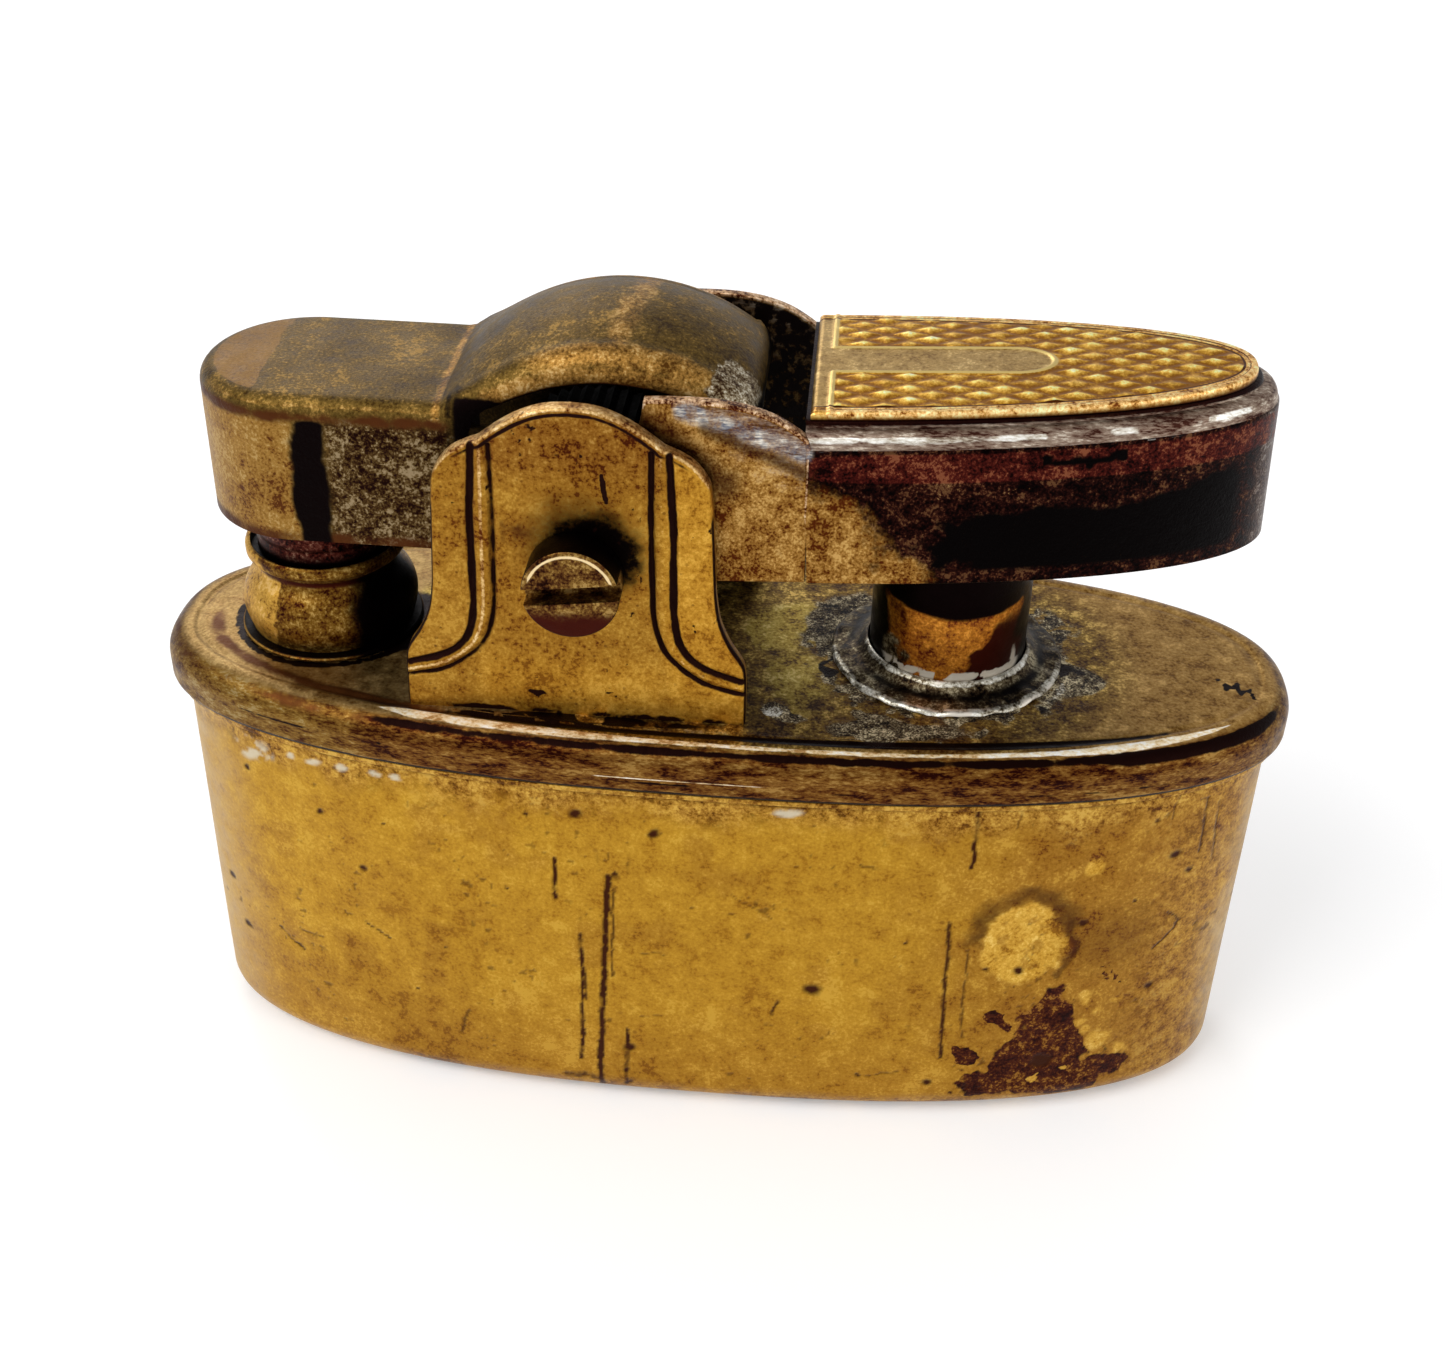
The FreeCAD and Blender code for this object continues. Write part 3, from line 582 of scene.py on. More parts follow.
P_RIML = gain(P_RIML, 0.78)
P_RIM = gain(P_RIM, 0.86)
P_POST = gain(P_POST, 1.32)
P_WKL, P_WKM = gain(P_WKL, 1.16), gain(P_WKM, 1.16)
P_LEV_DARK_PATINA_REFLECTION = gain(P_LEV_DARK_PATINA_REFLECTION, 0.72)
P_SHO = [(58, 30, 22), (96, 70, 58), (120, 98, 84), (134, 114, 98), (146, 126, 110), (166, 148, 130), (206, 192, 174)]
P_ARM = [(c[0] * 0.98, c[1] * 0.95, c[2] * 0.78) for c in P_ARM]
BLACK = srgb(9, 3, 3)
DKRED = srgb(44, 10, 6)


def mat_tank():
    g = Mat("tank_brass")
    f, a, b, c = g.tex3(0.22, 1.0, 4.2, (0.28, 0.40, 0.32), 0, 0.30)
    col = g.ramp(f, P_TANK)
    col = g.mix(g.attr("right"), col, g.ramp(f, P_TANKR))
    f2, _, b2, _ = g.tex3(0.4, 1.8, 5.0, (0.25, 0.45, 0.30), 3, 0.26)
    col = g.mix(g.attr("band"), col, g.ramp(f2, P_BAND))
    col = g.mix(g.attr("pale"), col, srgb(196, 168, 118))
    col = g.mix(g.attr("white"), col, srgb(206, 196, 172))
    spk = g.m("MULTIPLY", g.step(g.voronoi(0.9), 0.16, 0.06), g.step(g.noise(0.3, 3, 0.5, off=13), 0.50, 0.62))
    col = g.mix(g.m("MULTIPLY", spk, 0.55), col, srgb(112, 66, 18))
    col = g.mix(g.attr("brt"), col, g.ramp(f, [(138, 92, 22), (174, 126, 38), (190, 144, 50), (200, 154, 58), (208, 164, 66), (216, 174, 78), (228, 192, 100)]))
    st = g.attr("stain")
    col = g.mix(g.rag(st, b, 0.5, 0.36, 0.52), col, g.ramp(f2, [(30, 6, 4), (44, 12, 7), (58, 20, 10), (68, 27, 12), (82, 38, 15), (110, 64, 22), (150, 104, 40)]))
    # mark: scratches, spots and the darker foot, plus painted shadow under the lid's lip and along the dent's upper and
    # right edge
    col = g.mix(g.m("MULTIPLY", g.attr("mark"), 1.1, clamp=True), col, srgb(58, 26, 8))
    rough = g.m("ADD", g.step(b, 0.3, 0.7, 0.40, 0.52), g.m("MULTIPLY", g.max(st, g.attr("white")), 0.15))
    metal = g.step(g.attr("white"), 0.0, 1.0, 0.94, 0.4)
    h = g.m("SUBTRACT", g.m("ADD", g.m("MULTIPLY", c, 0.25), g.m("MULTIPLY", b, 0.6)), g.m("MULTIPLY", g.attr("mark"), 0.8))
    return g.finish(col, rough, metal, g.bump(h, 0.06, 0.7))


def mat_plate():
    g = Mat("plate_brass")
    f, a, b, c = g.tex3(0.3, 1.2, 4.2, (0.25, 0.42, 0.33), 2, 0.28)
    top = g.mix(g.step(g.x, -4.0, 6.0), g.ramp(f, P_TOPL), g.ramp(f, P_TOPR))
    top = g.mix(g.attr("mid"), top, g.ramp(f, P_TOPM))
    top = g.mix(g.rag(g.attr("yel"), b, 0.5, 0.25, 0.85), top, g.ramp(f, [(80, 54, 16), (126, 98, 36), (156, 128, 52), (172, 146, 64), (188, 162, 78), (206, 180, 98), (226, 204, 132)]))
    fc, _, bc, _ = g.tex3(0.8, 2.6, 7.0, (0.2, 0.4, 0.4), 8, 0.22)
    top = g.mix(g.rag(g.attr("crack"), b, 0.45, 0.35, 0.6), top, g.ramp(fc, P_CRACK_L))
    top = g.mix(g.rag(g.attr("white"), c, 0.6, 0.42, 0.62), top, g.ramp(fc, [(70, 58, 40), (120, 110, 92), (160, 152, 134), (190, 184, 168), (208, 204, 190), (224, 220, 208), (240, 238, 230)]))
    fr, _, br, _ = g.tex3(0.35, 1.3, 4.5, (0.25, 0.45, 0.30), 5, 0.26, g.stretch((0.55, 1.0, 1.8)))
    side = g.mix(g.attr("left"), g.ramp(fr, P_RIM), g.ramp(fr, P_RIML))
    col = g.mix(g.attr("flat"), side, top)
    col = g.mix(g.rag(g.attr("brown"), b, 0.7, 0.22, 0.86), col, srgb(84, 48, 20))
    # dk: dark patina patches and scratches on the top, plus the painted dark reflections and painted shade along the
    # rim and at the feet of the parts
    col = g.mix(g.rag(g.attr("dk"), b, 0.45, 0.40, 0.60), col, srgb(20, 6, 4))
    # painted highlight: the near-white line along the rim
    col = g.mix(g.rag(g.attr("lt"), b, 0.35, 0.42, 0.60), col, g.ramp(fr, [(176, 132, 78), (214, 180, 128), (232, 206, 160), (242, 222, 184), (248, 234, 206), (252, 244, 226), (255, 252, 244)]))
    rough = g.m("SUBTRACT", g.step(b, 0.3, 0.7, 0.38, 0.52), g.m("MULTIPLY", g.attr("lt"), 0.12))
    metal = g.step(g.max(g.attr("white"), g.m("MULTIPLY", g.attr("crack"), 0.7), g.m("MULTIPLY", g.attr("lt"), 1.2)), 0.0, 1.0, 0.94, 0.35)
    h = g.m("ADD", g.m("MULTIPLY", b, 0.5), g.m("MULTIPLY", c, 0.35))
    h = g.m("ADD", h, g.m("MULTIPLY", g.max(g.attr("crack"), g.attr("white")), g.m("MULTIPLY", fc, 0.8)))
    return g.finish(col, rough, metal, g.bump(h, 0.06, 0.9))


def mat_standard():
    g = Mat("standard_brass")
    f, a, b, c = g.tex3(0.3, 1.3, 4.6, (0.25, 0.40, 0.35), 4, 0.28)
    col = g.ramp(f, P_STD)
    col = g.mix(g.attr("lite"), col, g.ramp(f, [(132, 84, 20), (158, 108, 30), (172, 122, 37), (180, 130, 42), (188, 138, 46), (198, 148, 54), (210, 162, 66)]))
    col = g.mix(g.attr("shade"), col, g.ramp(f, [(60, 20, 5), (98, 52, 14), (118, 74, 21), (130, 84, 27), (138, 93, 32), (150, 106, 40), (170, 128, 60)]))
    spk = g.m("MULTIPLY", g.step(g.voronoi(2.0), 0.22, 0.10), g.step(g.noise(0.6, 3, 0.5, off=8), 0.44, 0.6))
    col = g.mix(g.m("MULTIPLY", spk, 0.6), col, srgb(78, 32, 10))
    w = g.rag(g.attr("wear"), c, 0.5, 0.40, 0.70)
    col = g.mix(w, col, g.ramp(f, [(80, 34, 12), (128, 84, 40), (168, 124, 68), (190, 148, 88), (206, 166, 104), (222, 186, 124), (240, 214, 164)]))
    # painted dark reflection of the protruding screw head in the standard's face, with dark patina round it
    col = g.mix(g.rag(g.attr("head_reflection_and_patina"), c, 0.5, 0.16, 0.78), col, srgb(8, 3, 2))
    col = g.mix(g.rag(g.attr("brown"), b, 0.6, 0.36, 0.66), col, srgb(70, 30, 10))
    # dirt: grime in the grooves and along the foot and edges of the front face; the inner face carries a flat painted
    # shade
    col = g.mix(g.rag(g.attr("dirt"), c, 0.35, 0.36, 0.62), col, srgb(30, 8, 4))
    rough = g.m("ADD", g.step(b, 0.3, 0.7, 0.40, 0.52), g.m("MULTIPLY", g.attr("dirt"), 0.2))
    metal = g.step(g.attr("dirt"), 0.2, 1.0, 0.94, 0.7)
    h = g.m("ADD", g.m("MULTIPLY", b, 0.5), g.m("MULTIPLY", c, 0.4))
    return g.finish(col, rough, metal, g.bump(h, 0.05, 0.8))


def mat_arm():
    g = Mat("arm_brass")
    f, a, b, c = g.tex3(0.28, 1.3, 5.0, (0.28, 0.34, 0.38), 6, 0.27)
    col = g.ramp(f, P_ARM)
    fs, _, bs, _ = g.tex3(0.6, 2.2, 6.5, (0.22, 0.38, 0.40), 11, 0.22)
    col = g.mix(g.attr("sidem"), col, g.ramp(fs, P_ARMS))
    col = g.mix(g.attr("sidel"), col, g.ramp(f, P_ARMC))
    col = g.mix(g.rag(g.attr("smooth"), b, 0.3, 0.4, 0.6), col, g.ramp(f, [(94, 68, 36), (110, 80, 41), (117, 86, 43), (122, 90, 44), (126, 93, 46), (130, 97, 49), (138, 106, 58)]))
    col = g.mix(g.rag(g.attr("wear"), b, 0.7, 0.34, 0.74), col, g.ramp(f, P_OR))
    col = g.mix(g.rag(g.attr("brown"), b, 0.7, 0.26, 0.80), col, srgb(76, 40, 16))
    col = g.mix(g.rag(g.attr("grey"), c, 0.6, 0.38, 0.62), col, g.ramp(fs, [(50, 30, 16), (86, 66, 42), (112, 94, 68), (134, 118, 92), (152, 138, 112), (176, 164, 140), (206, 198, 178)]))
    col = g.mix(g.rag(g.attr("dk"), b, 0.30, 0.28, 0.72), col, BLACK)
    # inside: inner surfaces painted near black as shade under the hood
    col = g.mix(g.attr("inside"), col, srgb(14, 7, 5))
    rough = g.step(b, 0.3, 0.7, 0.42, 0.56)
    metal = g.step(g.attr("inside"), 0.0, 1.0, 0.92, 0.6)
    h = g.m("ADD", g.m("MULTIPLY", b, 0.6), g.m("MULTIPLY", c, 0.6))
    return g.finish(col, rough, metal, g.bump(h, 0.05, 0.9))


def mat_lever():
    g = Mat("lever_brass")
    f, a, b, c = g.tex3(0.5, 1.9, 5.5, (0.25, 0.40, 0.35), 14, 0.25)
    # mid: the lever side's dark body, patina plus painted dark reflection of the plate below
    dk = g.rag(g.attr("mid"), b, 0.9, 0.30, 0.72)
    col = g.mix(dk, g.ramp(f, P_LEVL), g.ramp(f, P_LEV_DARK_PATINA_REFLECTION))
    col = g.mix(g.attr("right"), col, g.ramp(f, [(29, 5, 2), (50, 20, 12), (66, 42, 32), (82, 62, 50), (98, 82, 72), (118, 108, 100), (150, 146, 140)]))
    col = g.mix(g.rag(g.attr("fleck"), c, 0.9, 0.42, 0.66), col, g.ramp(f, [(60, 24, 10), (90, 50, 22), (112, 70, 34), (128, 86, 44), (144, 102, 56), (164, 124, 72), (188, 152, 98)]))
    col = g.mix(g.rag(g.attr("band"), b, 0.5, 0.36, 0.62), col, g.ramp(f, P_LEVB))
    # near-black patches: patina plus painted dark reflection of the plate on the lower side, and painted shade along
    # the shoulder
    col = g.mix(g.rag(g.attr("black_reflection_and_patina"), b, 0.45, 0.26, 0.72), col, srgb(4, 2, 2))
    fw, _, bw, _ = g.tex3(0.4, 1.4, 4.5, (0.3, 0.4, 0.3), 20, 0.24, g.stretch((0.45, 1.0, 2.2)))
    col = g.mix(g.rag(g.attr("grey"), b, 0.4, 0.36, 0.62), col, g.ramp(fw, P_SHO))
    # painted highlight: thin pale lines along the rounded shoulder and the fine step
    col = g.mix(g.rag(g.attr("lt"), bw, 0.6, 0.40, 0.66), col, g.ramp(fw, [(120, 104, 88), (160, 146, 128), (186, 174, 156), (206, 198, 184), (222, 216, 204), (236, 232, 222), (248, 246, 240)]))
    # painted highlight along the ear's rounded top edge
    col = g.mix(g.rag(g.attr("ear_edge_highlight"), c, 0.5, 0.40, 0.62), col, g.ramp(f, [(59, 19, 7), (110, 66, 40), (160, 121, 83), (191, 152, 113), (210, 172, 132), (224, 190, 150), (240, 216, 186)]))
    # painted reflection: a blue-grey streak on the ear's outer face
    ear_reflection = g.m("MULTIPLY", g.m("MULTIPLY", g.seg((-1.6, 39.75), (3.9, 37.95), 0.62, 0.75, jit=0.5, jscale=1.0), g.step(g.x, 4.3, 4.0)), g.step(g.m("ABSOLUTE", g.y), 6.2, 6.3))
    col = g.mix(g.m("MULTIPLY", ear_reflection, g.step(b, 0.40, 0.60, 0.35, 0.95)), col, g.ramp(fw, [(50, 44, 50), (84, 84, 96), (112, 116, 128), (140, 142, 146), (168, 166, 162), (196, 190, 180), (226, 220, 208)]))
    # painted shadow: dark bands on the ear's outer face below its top edge, beside the standard's shoulder
    ear_shadow = g.m("MULTIPLY", g.m("MULTIPLY", g.max(g.seg((-0.6, 38.9), (3.9, 36.95), 0.55, 0.9, jit=0.5, jscale=1.0), g.seg((-3.4, 39.0), (0.3, 36.2), 1.3, 0.9, jit=0.5, jscale=1.0)), g.step(g.x, 4.3, 4.0)), g.step(g.m("ABSOLUTE", g.y), 6.2, 6.3))
    col = g.mix(g.m("MULTIPLY", ear_shadow, 0.72), col, srgb(40, 16, 9))
    col = g.mix(g.attr("seat"), col, srgb(26, 7, 5))
    # inside: the lever's inner surfaces and the ears' inner faces painted near black as shade
    col = g.mix(g.m("MULTIPLY", g.attr("inside"), g.step(b, 0.62, 0.5, 0.75, 1.0)), col, srgb(13, 5, 4))
    rough = g.step(b, 0.3, 0.7, 0.36, 0.50)
    metal = g.step(g.max(g.attr("inside"), g.attr("lt")), 0.0, 1.0, 0.94, 0.5)
    h = g.m("ADD", g.m("MULTIPLY", b, 0.6), g.m("MULTIPLY", c, 0.5))
    return g.finish(col, rough, metal, g.bump(h, 0.04, 0.9))


def mat_gilt():
    g = Mat("thumb_gilt")
    f, a, b, c = g.tex3(0.5, 1.8, 5.0, (0.25, 0.40, 0.35), 17, 0.30)
    hgt = g.attr("rise")
    v = g.m("ADD", g.m("MULTIPLY", hgt, 0.78), g.m("MULTIPLY", g.m("SUBTRACT", f, 0.5), 0.50), clamp=True)
    col = g.ramp(g.m("ADD", v, 0.06), P_FIELD, (0.05, 0.22, 0.40, 0.52, 0.64, 0.80, 0.98))
    col = g.mix(g.attr("plain"), col, g.ramp(f, P_CART))
    col = g.mix(g.rag(g.attr("line"), c, 0.4, 0.35, 0.6), col, srgb(222, 194, 120))
    col = g.mix(g.attr("border"), col, g.ramp(f, P_EDGE))
    col = g.mix(g.rag(g.attr("dirt"), c, 0.5, 0.40, 0.62), col, srgb(78, 38, 12))
    col = g.mix(g.attr("seat"), col, srgb(40, 12, 8))
    rough = g.step(b, 0.3, 0.7, 0.34, 0.46)
    h = g.m("ADD", g.m("MULTIPLY", b, 0.5), g.m("MULTIPLY", c, 0.5))
    return g.finish(col, rough, 0.94, g.bump(h, 0.03, 0.8))


def mat_turned(name, palA, palB, seed=0.0, lo=0.36, hi=0.50, dark=BLACK, light=None):
    g = Mat(name)
    f, a, b, c = g.tex3(0.5, 1.7, 5.0, (0.25, 0.42, 0.33), 21 + seed, 0.27)
    col = g.mix(g.rag(g.attr("pb"), b, 0.5, 0.36, 0.64), g.ramp(f, palA), g.ramp(f, palB))
    col = g.mix(g.rag(g.attr("brown"), b, 0.5, 0.28, 0.76), col, srgb(58, 18, 10))
    # painted highlight
    col = g.mix(g.rag(g.attr("lt"), b, 0.6, 0.38, 0.64), col, light or srgb(222, 214, 200))
    # dk: on the wick holder, post and screw head these are painted shade and painted dark reflection; on the cup and
    # collar darker bands
    col = g.mix(g.rag(g.attr("dk"), b, 0.35, 0.16, 0.80), col, dark)
    rough = g.step(b, 0.3, 0.7, lo, hi)
    metal = g.step(g.attr("lt"), 0.0, 1.0, 0.94, 0.7)
    h = g.m("ADD", g.m("MULTIPLY", b, 0.5), g.m("MULTIPLY", c, 0.4))
    return g.finish(col, rough, metal, g.bump(h, 0.04, 0.8))


def mat_metal(name, c, c2, rough=0.35, metal=1.0, grain=(1, 1, 1), bump=0.03):
    g = Mat(name)
    v = g.stretch(grain)
    n1 = g.noise(0.8, 5, 0.6, vec=v)
    n2 = g.noise(3.5, 5, 0.65, vec=v, off=4)
    col = g.mix(g.step(n1, 0.35, 0.65), c, c2)
    col = g.mix(g.step(n2, 0.52, 0.7, 0.0, 0.5), col, tuple(k * 0.5 for k in c2))
    return g.finish(col, g.step(n2, 0.3, 0.7, rough - 0.06, rough + 0.1), metal, g.bump(n2, bump, 0.7))


def mat_fibre(name, c, c2, scale=2.0, rough=0.9):
    g = Mat(name)
    n1 = g.noise(scale, 6, 0.7, dist=0.6)
    n2 = g.noise(scale * 4, 4, 0.7, vec=g.stretch((1, 1, 0.35)))
    col = g.mix(g.step(n1, 0.35, 0.65), c, c2)
    col = g.mix(g.step(n2, 0.5, 0.7, 0.0, 0.5), col, tuple(k * 0.6 for k in c2))
    g.b.inputs["Sheen Weight"].default_value = 0.3
    return g.finish(col, rough, 0.0, g.bump(g.m("ADD", n1, n2), 0.2, 0.9))


M_TANK, M_PLATE, M_STD, M_ARM, M_LEV, M_GILT = mat_tank(), mat_plate(), mat_standard(), mat_arm(), mat_lever(), mat_gilt()
M_WICKT = mat_turned("wick_brass", P_WKL, P_WKM, 0, 0.42, 0.56)
M_CUP = mat_turned("cup_brass", P_CUP, P_WKM, 3, 0.36, 0.5)
M_POST = mat_turned("post_brass", P_POST, P_CRACK, 6, 0.32, 0.46)
M_SCREW = mat_turned("screw_brass", P_SCR, P_SCR, 9, 0.38, 0.5, light=srgb(232, 206, 156))
M_COLLAR = mat_turned("collar_brass", P_CRACK, [(70, 58, 40), (120, 110, 92), (160, 152, 134), (190, 184, 168), (208, 204, 190), (224, 220, 208), (240, 238, 230)], 12, 0.34, 0.5)
# the steel parts are coloured dark, and the wheels and hub near black, as painted shade for the parts under the hood
# and lever
M_STEEL = mat_metal("steel", srgb(58, 46, 38), srgb(36, 26, 20), 0.42)
M_SHADOW_STEEL = mat_metal("steel_painted_shadow", srgb(3, 2, 1), srgb(2, 1, 1), 0.85)
M_WIRE = mat_metal("spring_steel", srgb(120, 120, 124), srgb(84, 84, 90), 0.3)
M_FLINT = mat_metal("flint_alloy", srgb(86, 82, 78), srgb(60, 56, 52), 0.6, 0.7, bump=0.1)
M_INNER = mat_metal("inner_brass", srgb(206, 168, 88), srgb(170, 128, 58), 0.3)
M_COTTON = mat_fibre("cotton", srgb(236, 230, 214), srgb(214, 204, 182), 0.9)
M_WICK = mat_fibre("wick_fibre", srgb(206, 198, 178), srgb(150, 138, 116), 3.0)
M_SEAL = mat_fibre("seal_cork", srgb(120, 84, 56), srgb(84, 56, 36), 3.5)

# ------------------------------------------------------------------ tank
def arc_pts(n, off0, z0, r, kind):
    out = []
    for i in range(n + 1):
        t = math.pi / 2 * i / n
        if kind == "bottom_out":      # from the floor to the wall
            out.append((off0 + r * (1 - math.sin(t)), z0 + r * (1 - math.cos(t))))
        elif kind == "top_out":       # from the top face to the side
            out.append((off0 + r * (1 - math.sin(t)), z0 - r * (1 - math.cos(t))))
    return out


OV_T = Oval(150, 620)
OV_P = Oval(150, 320)
prof = [(WALL_IN + EDGE_R + 1.2, 0.0)] + arc_pts(14, WALL_IN, 0.0, EDGE_R, "bottom_out")
prof += [(WALL_IN, z) for z in np.linspace(EDGE_R, 20.9, 150)[1:]]
prof += [(WALL_IN, 20.95), (0.42, 20.97), (0.34, 21.02), (0.32, 21.10), (0.32, 21.28), (0.40, 21.36), (WALL_IN, 21.37), (WALL_IN, 22.77),
         (WALL_IN + TANK_T, 22.77), (WALL_IN + TANK_T, 2.0), (WALL_IN + TANK_T + 0.35, 1.25), (WALL_IN + TANK_T + 1.1, FLOOR_T)]


def warp_tank(v):
    x, y, z = v
    if y < -1.0 and 1.5 < z < 20.8:
        d = 0.16 * math.exp(-((x - 16.15) / 1.9) ** 2 - ((z - 12.2) / 2.2) ** 2)
        d += 0.05 * math.exp(-((x + 22.3) / 1.2) ** 2 - ((z - 7.2) / 0.6) ** 2)
        d += 0.05 * math.exp(-((x - 19.1) / 0.6) ** 2 - ((z - 16.8) / 0.6) ** 2)
        d += 0.035 * math.sin(x * 0.31 + 1.0) * math.sin(z * 0.23) + 0.02 * math.sin(x * 0.83 + z * 0.4)
        y += d
    elif y > 1.0 and 1.5 < z < 20.8:
        y -= 0.03 * math.sin(x * 0.27 + 2.0) * math.sin(z * 0.21)
    return (x, y, z)


def tank_paint(v):
    x, y, z = v[:, 0], v[:, 1], v[:, 2]
    F = sst(y, -0.5, -2.0) * (z < 20.94)
    n1 = fbm(x, z, 0.5, 5, 11); n2 = fbm(x, z, 1.6, 5, 21); n3 = fbm(x, z, 4.0, 3, 31)
    wx = x + 0.14 * (fbm(x, z, 0.9, 4, 41) - 0.5) + 0.07 * (fbm(x, z, 5.0, 2, 45) - 0.5)
    wz = z + 0.30 * (fbm(x, z, 1.3, 4, 51) - 0.5)
    L = [([(-4.83, 15.6), (-4.96, 11.85), (-5.16, 7.0), (-5.31, 3.5), (-5.24, 0.7)], .14, 1.0),
         ([(-4.55, 14.9), (-4.66, 9.0)], .06, .8), ([(-6.21, 11.5), (-6.19, 7.7), (-6.33, 2.9)], .10, .95), ([(-6.05, 9.4), (-6.0, 7.2)], .06, .8),
         ([(-7.43, 16.4), (-7.47, 13.9)], .09, .95), ([(-3.87, 5.3), (-3.92, 3.0), (-3.95, 1.2)], .10, 1.0),
         ([(-7.24, 1.65), (-5.39, 1.62)], .13, .8), ([(13.05, 20.9), (13.07, 19.1), (13.01, 17.2)], .10, .95),
         ([(12.27, 13.6), (12.34, 10.8), (12.47, 7.7), (12.54, 4.4)], .10, .9), ([(13.33, 11.8), (13.33, 9.3), (13.59, 5.8)], .06, .7),
         ([(-23.0, 7.8), (-22.3, 7.2), (-21.6, 6.9)], .08, .9), ([(-21.7, 8.4), (-20.4, 8.15)], .06, .6), ([(-17.7, 10.2), (-16.4, 9.2)], .05, .8),
         ([(-12.4, 5.2), (-12.9, 3.6)], .07, .6), ([(3.9, 8.0), (3.6, 7.0)], .08, .8), ([(1.3, 15.0), (3.4, 13.5)], .04, .5),
         ([(-3.2, 10.75), (-1.8, 10.6)], .04, .6), ([(23.4, 12.9), (24.2, 12.2), (22.9, 10.5)], .06, .8), ([(-3.2, 6.4), (-1.6, 6.3)], .04, .5),
         ([(7.6, 17.2), (8.5, 17.1)], .06, .6), ([(-11.3, 13.1), (-10.4, 12.8)], .04, .5), ([(10.4, 3.3), (8.3, 2.9)], .05, .6),
         ([(24.4, 20.0), (24.5, 16.6)], .07, .8), ([(25.1, 19.4), (25.3, 15.8)], .06, .7), ([(22.8, 20.6), (22.7, 19.2)], .06, .6),
         ([(15.1, 20.7), (15.0, 19.6)], .06, .5)]
    mark = np.zeros(len(x))
    gaps = sst(fbm(x, z, 1.1, 3, 61), 0.10, 0.34) * 0.5 + 0.5
    for pts, w, s in L:
        m_ = stroke(wx, wz, pts, w * (1.6 + 0.9 * (n3 - 0.5)), 0.7) * s * gaps
        mark = np.maximum(mark, m_)
    # scribbled cluster
    sx = wx
    cl = blob(wx, wz, -4.5, 16.5, 0.95, 1.35, 0.6)
    mark = np.maximum(mark, cl * sst(fbm(x * 2.2, z * 0.7, 1.6, 3, 71), 0.55, 0.68))
    for (cx, cz, r) in [(-6.3, 19.33, .36), (-2.51, 18.56, .34), (5.64, 8.96, .52), (-17.6, 13.8, .28), (-19.65, 16.9, .26), (19.0, 13.25, .34),
                        (16.0, 10.3, .30), (-23.7, 18.2, .20), (-25.2, 6.6, .32), (-25.9, 9.6, .26), (-3.8, 4.0, .38), (-3.8, 1.5, .26), (23.2, 16.9, .40),
                        (24.1, 15.6, .25), (12.0, 2.6, .3), (-9.9, 14.2, .12), (-13.4, 9.6, .11), (21.9, 19.2, .2), (8.3, 3.1, .2), (-0.6, 13.9, .1),
                        (14.35, 10.5, .2), (23.1, 8.1, .3), (21.5, 14.2, .15), (-15.2, 6.2, .12), (-8.8, 18.9, .14), (10.2, 12.4, .1), (-16.2, 17.0, .12)]:
        mark = np.maximum(mark, 0.95 * blob(wx, wz, cx, cz, r * 1.25, r * 1.05, 0.7))
    tiny = sst(fbm(x, z, 2.7, 3, 81), 0.86, 0.95) * sst(fbm(x, z, 0.35, 2, 85), 0.55, 0.8) * 0.5
    mark = np.maximum(mark, tiny)
    mark = mark * F
    vx = x + 1.5 * (fbm(x, z, 0.7, 5, 91) - 0.5); vz = z + 1.5 * (fbm(x, z, 0.7, 5, 95) - 0.5)
    poly = [(17.45, 8.47), (18.91, 8.85), (19.27, 6.38), (20.6, 3.94), (22.62, 2.79), (21.11, 1.53), (16.62, 1.33), (13.7, 1.9), (13.69, 3.34),
            (15.39, 3.84), (15.65, 5.43), (16.84, 6.98), (17.45, 8.47)]
    inside = np.zeros(len(x), bool)
    P = poly
    for (ax, az), (bx, bz) in zip(P[:-1], P[1:]):
        cond = ((az > vz) != (bz > vz)) & (vx < (bx - ax) * (vz - az) / (bz - az + 1e-9) + ax)
        inside ^= cond
    dd = poly_dist(vx, vz, P)
    stain = np.where(inside, np.clip(0.6 + dd * 0.6, 0, 1), np.clip(0.55 - dd * 0.9, 0, 1))
    stain = stain * (0.72 + 0.55 * (n2 - 0.35))
    stain = np.maximum(stain, 0.75 * blob(vx, vz, 15.3, 6.82, 0.8, 0.75, 0.5))
    stain = np.maximum(stain, 0.75 * blob(vx, vz, 13.5, 4.55, 0.8, 0.9, 0.5))
    stain = np.maximum(stain, 0.62 * blob(vx, vz, 20.8, 9.9, 1.7, 1.4, 0.7) * sst(n3, 0.5, 0.75))
    bub = np.zeros(len(x))
    for (cx, cz, r) in [(19.68, 8.03, .42), (21.13, 7.62, .42), (19.69, 6.46, .5), (20.91, 4.83, .85), (20.1, 5.6, .4), (22.3, 3.6, .5), (20.4, 7.1, .3), (17.7, 2.5, .35), (19.6, 3.0, .3)]:
        bub = np.maximum(bub, blob(vx * .6 + wx * .4, vz * .6 + wz * .4, cx, cz, r, r, 0.5))
    stain = stain * (1 - 0.95 * bub) * F
    black = blob(wx, wz, 17.93, 3.69, 0.75, 0.6, 0.5) * F
    mark = np.maximum(mark, black)
    ox = x + 0.7 * (fbm(x, z, 1.0, 4, 101) - 0.5); oz = z + 0.7 * (fbm(x, z, 1.0, 4, 105) - 0.5)
    oval = blob(ox, oz, 16.1, 12.1, 2.35, 2.75, 0.14)
    nickd = sst(n2, 0.62, 0.74) * oval * 0.7
    brt = oval * (1 - nickd)
    brt = np.maximum(brt, blob(wx, wz, 19.11, 16.81, .62, .55, 0.4))
    brt = np.maximum(brt, bub * 0.8) * F
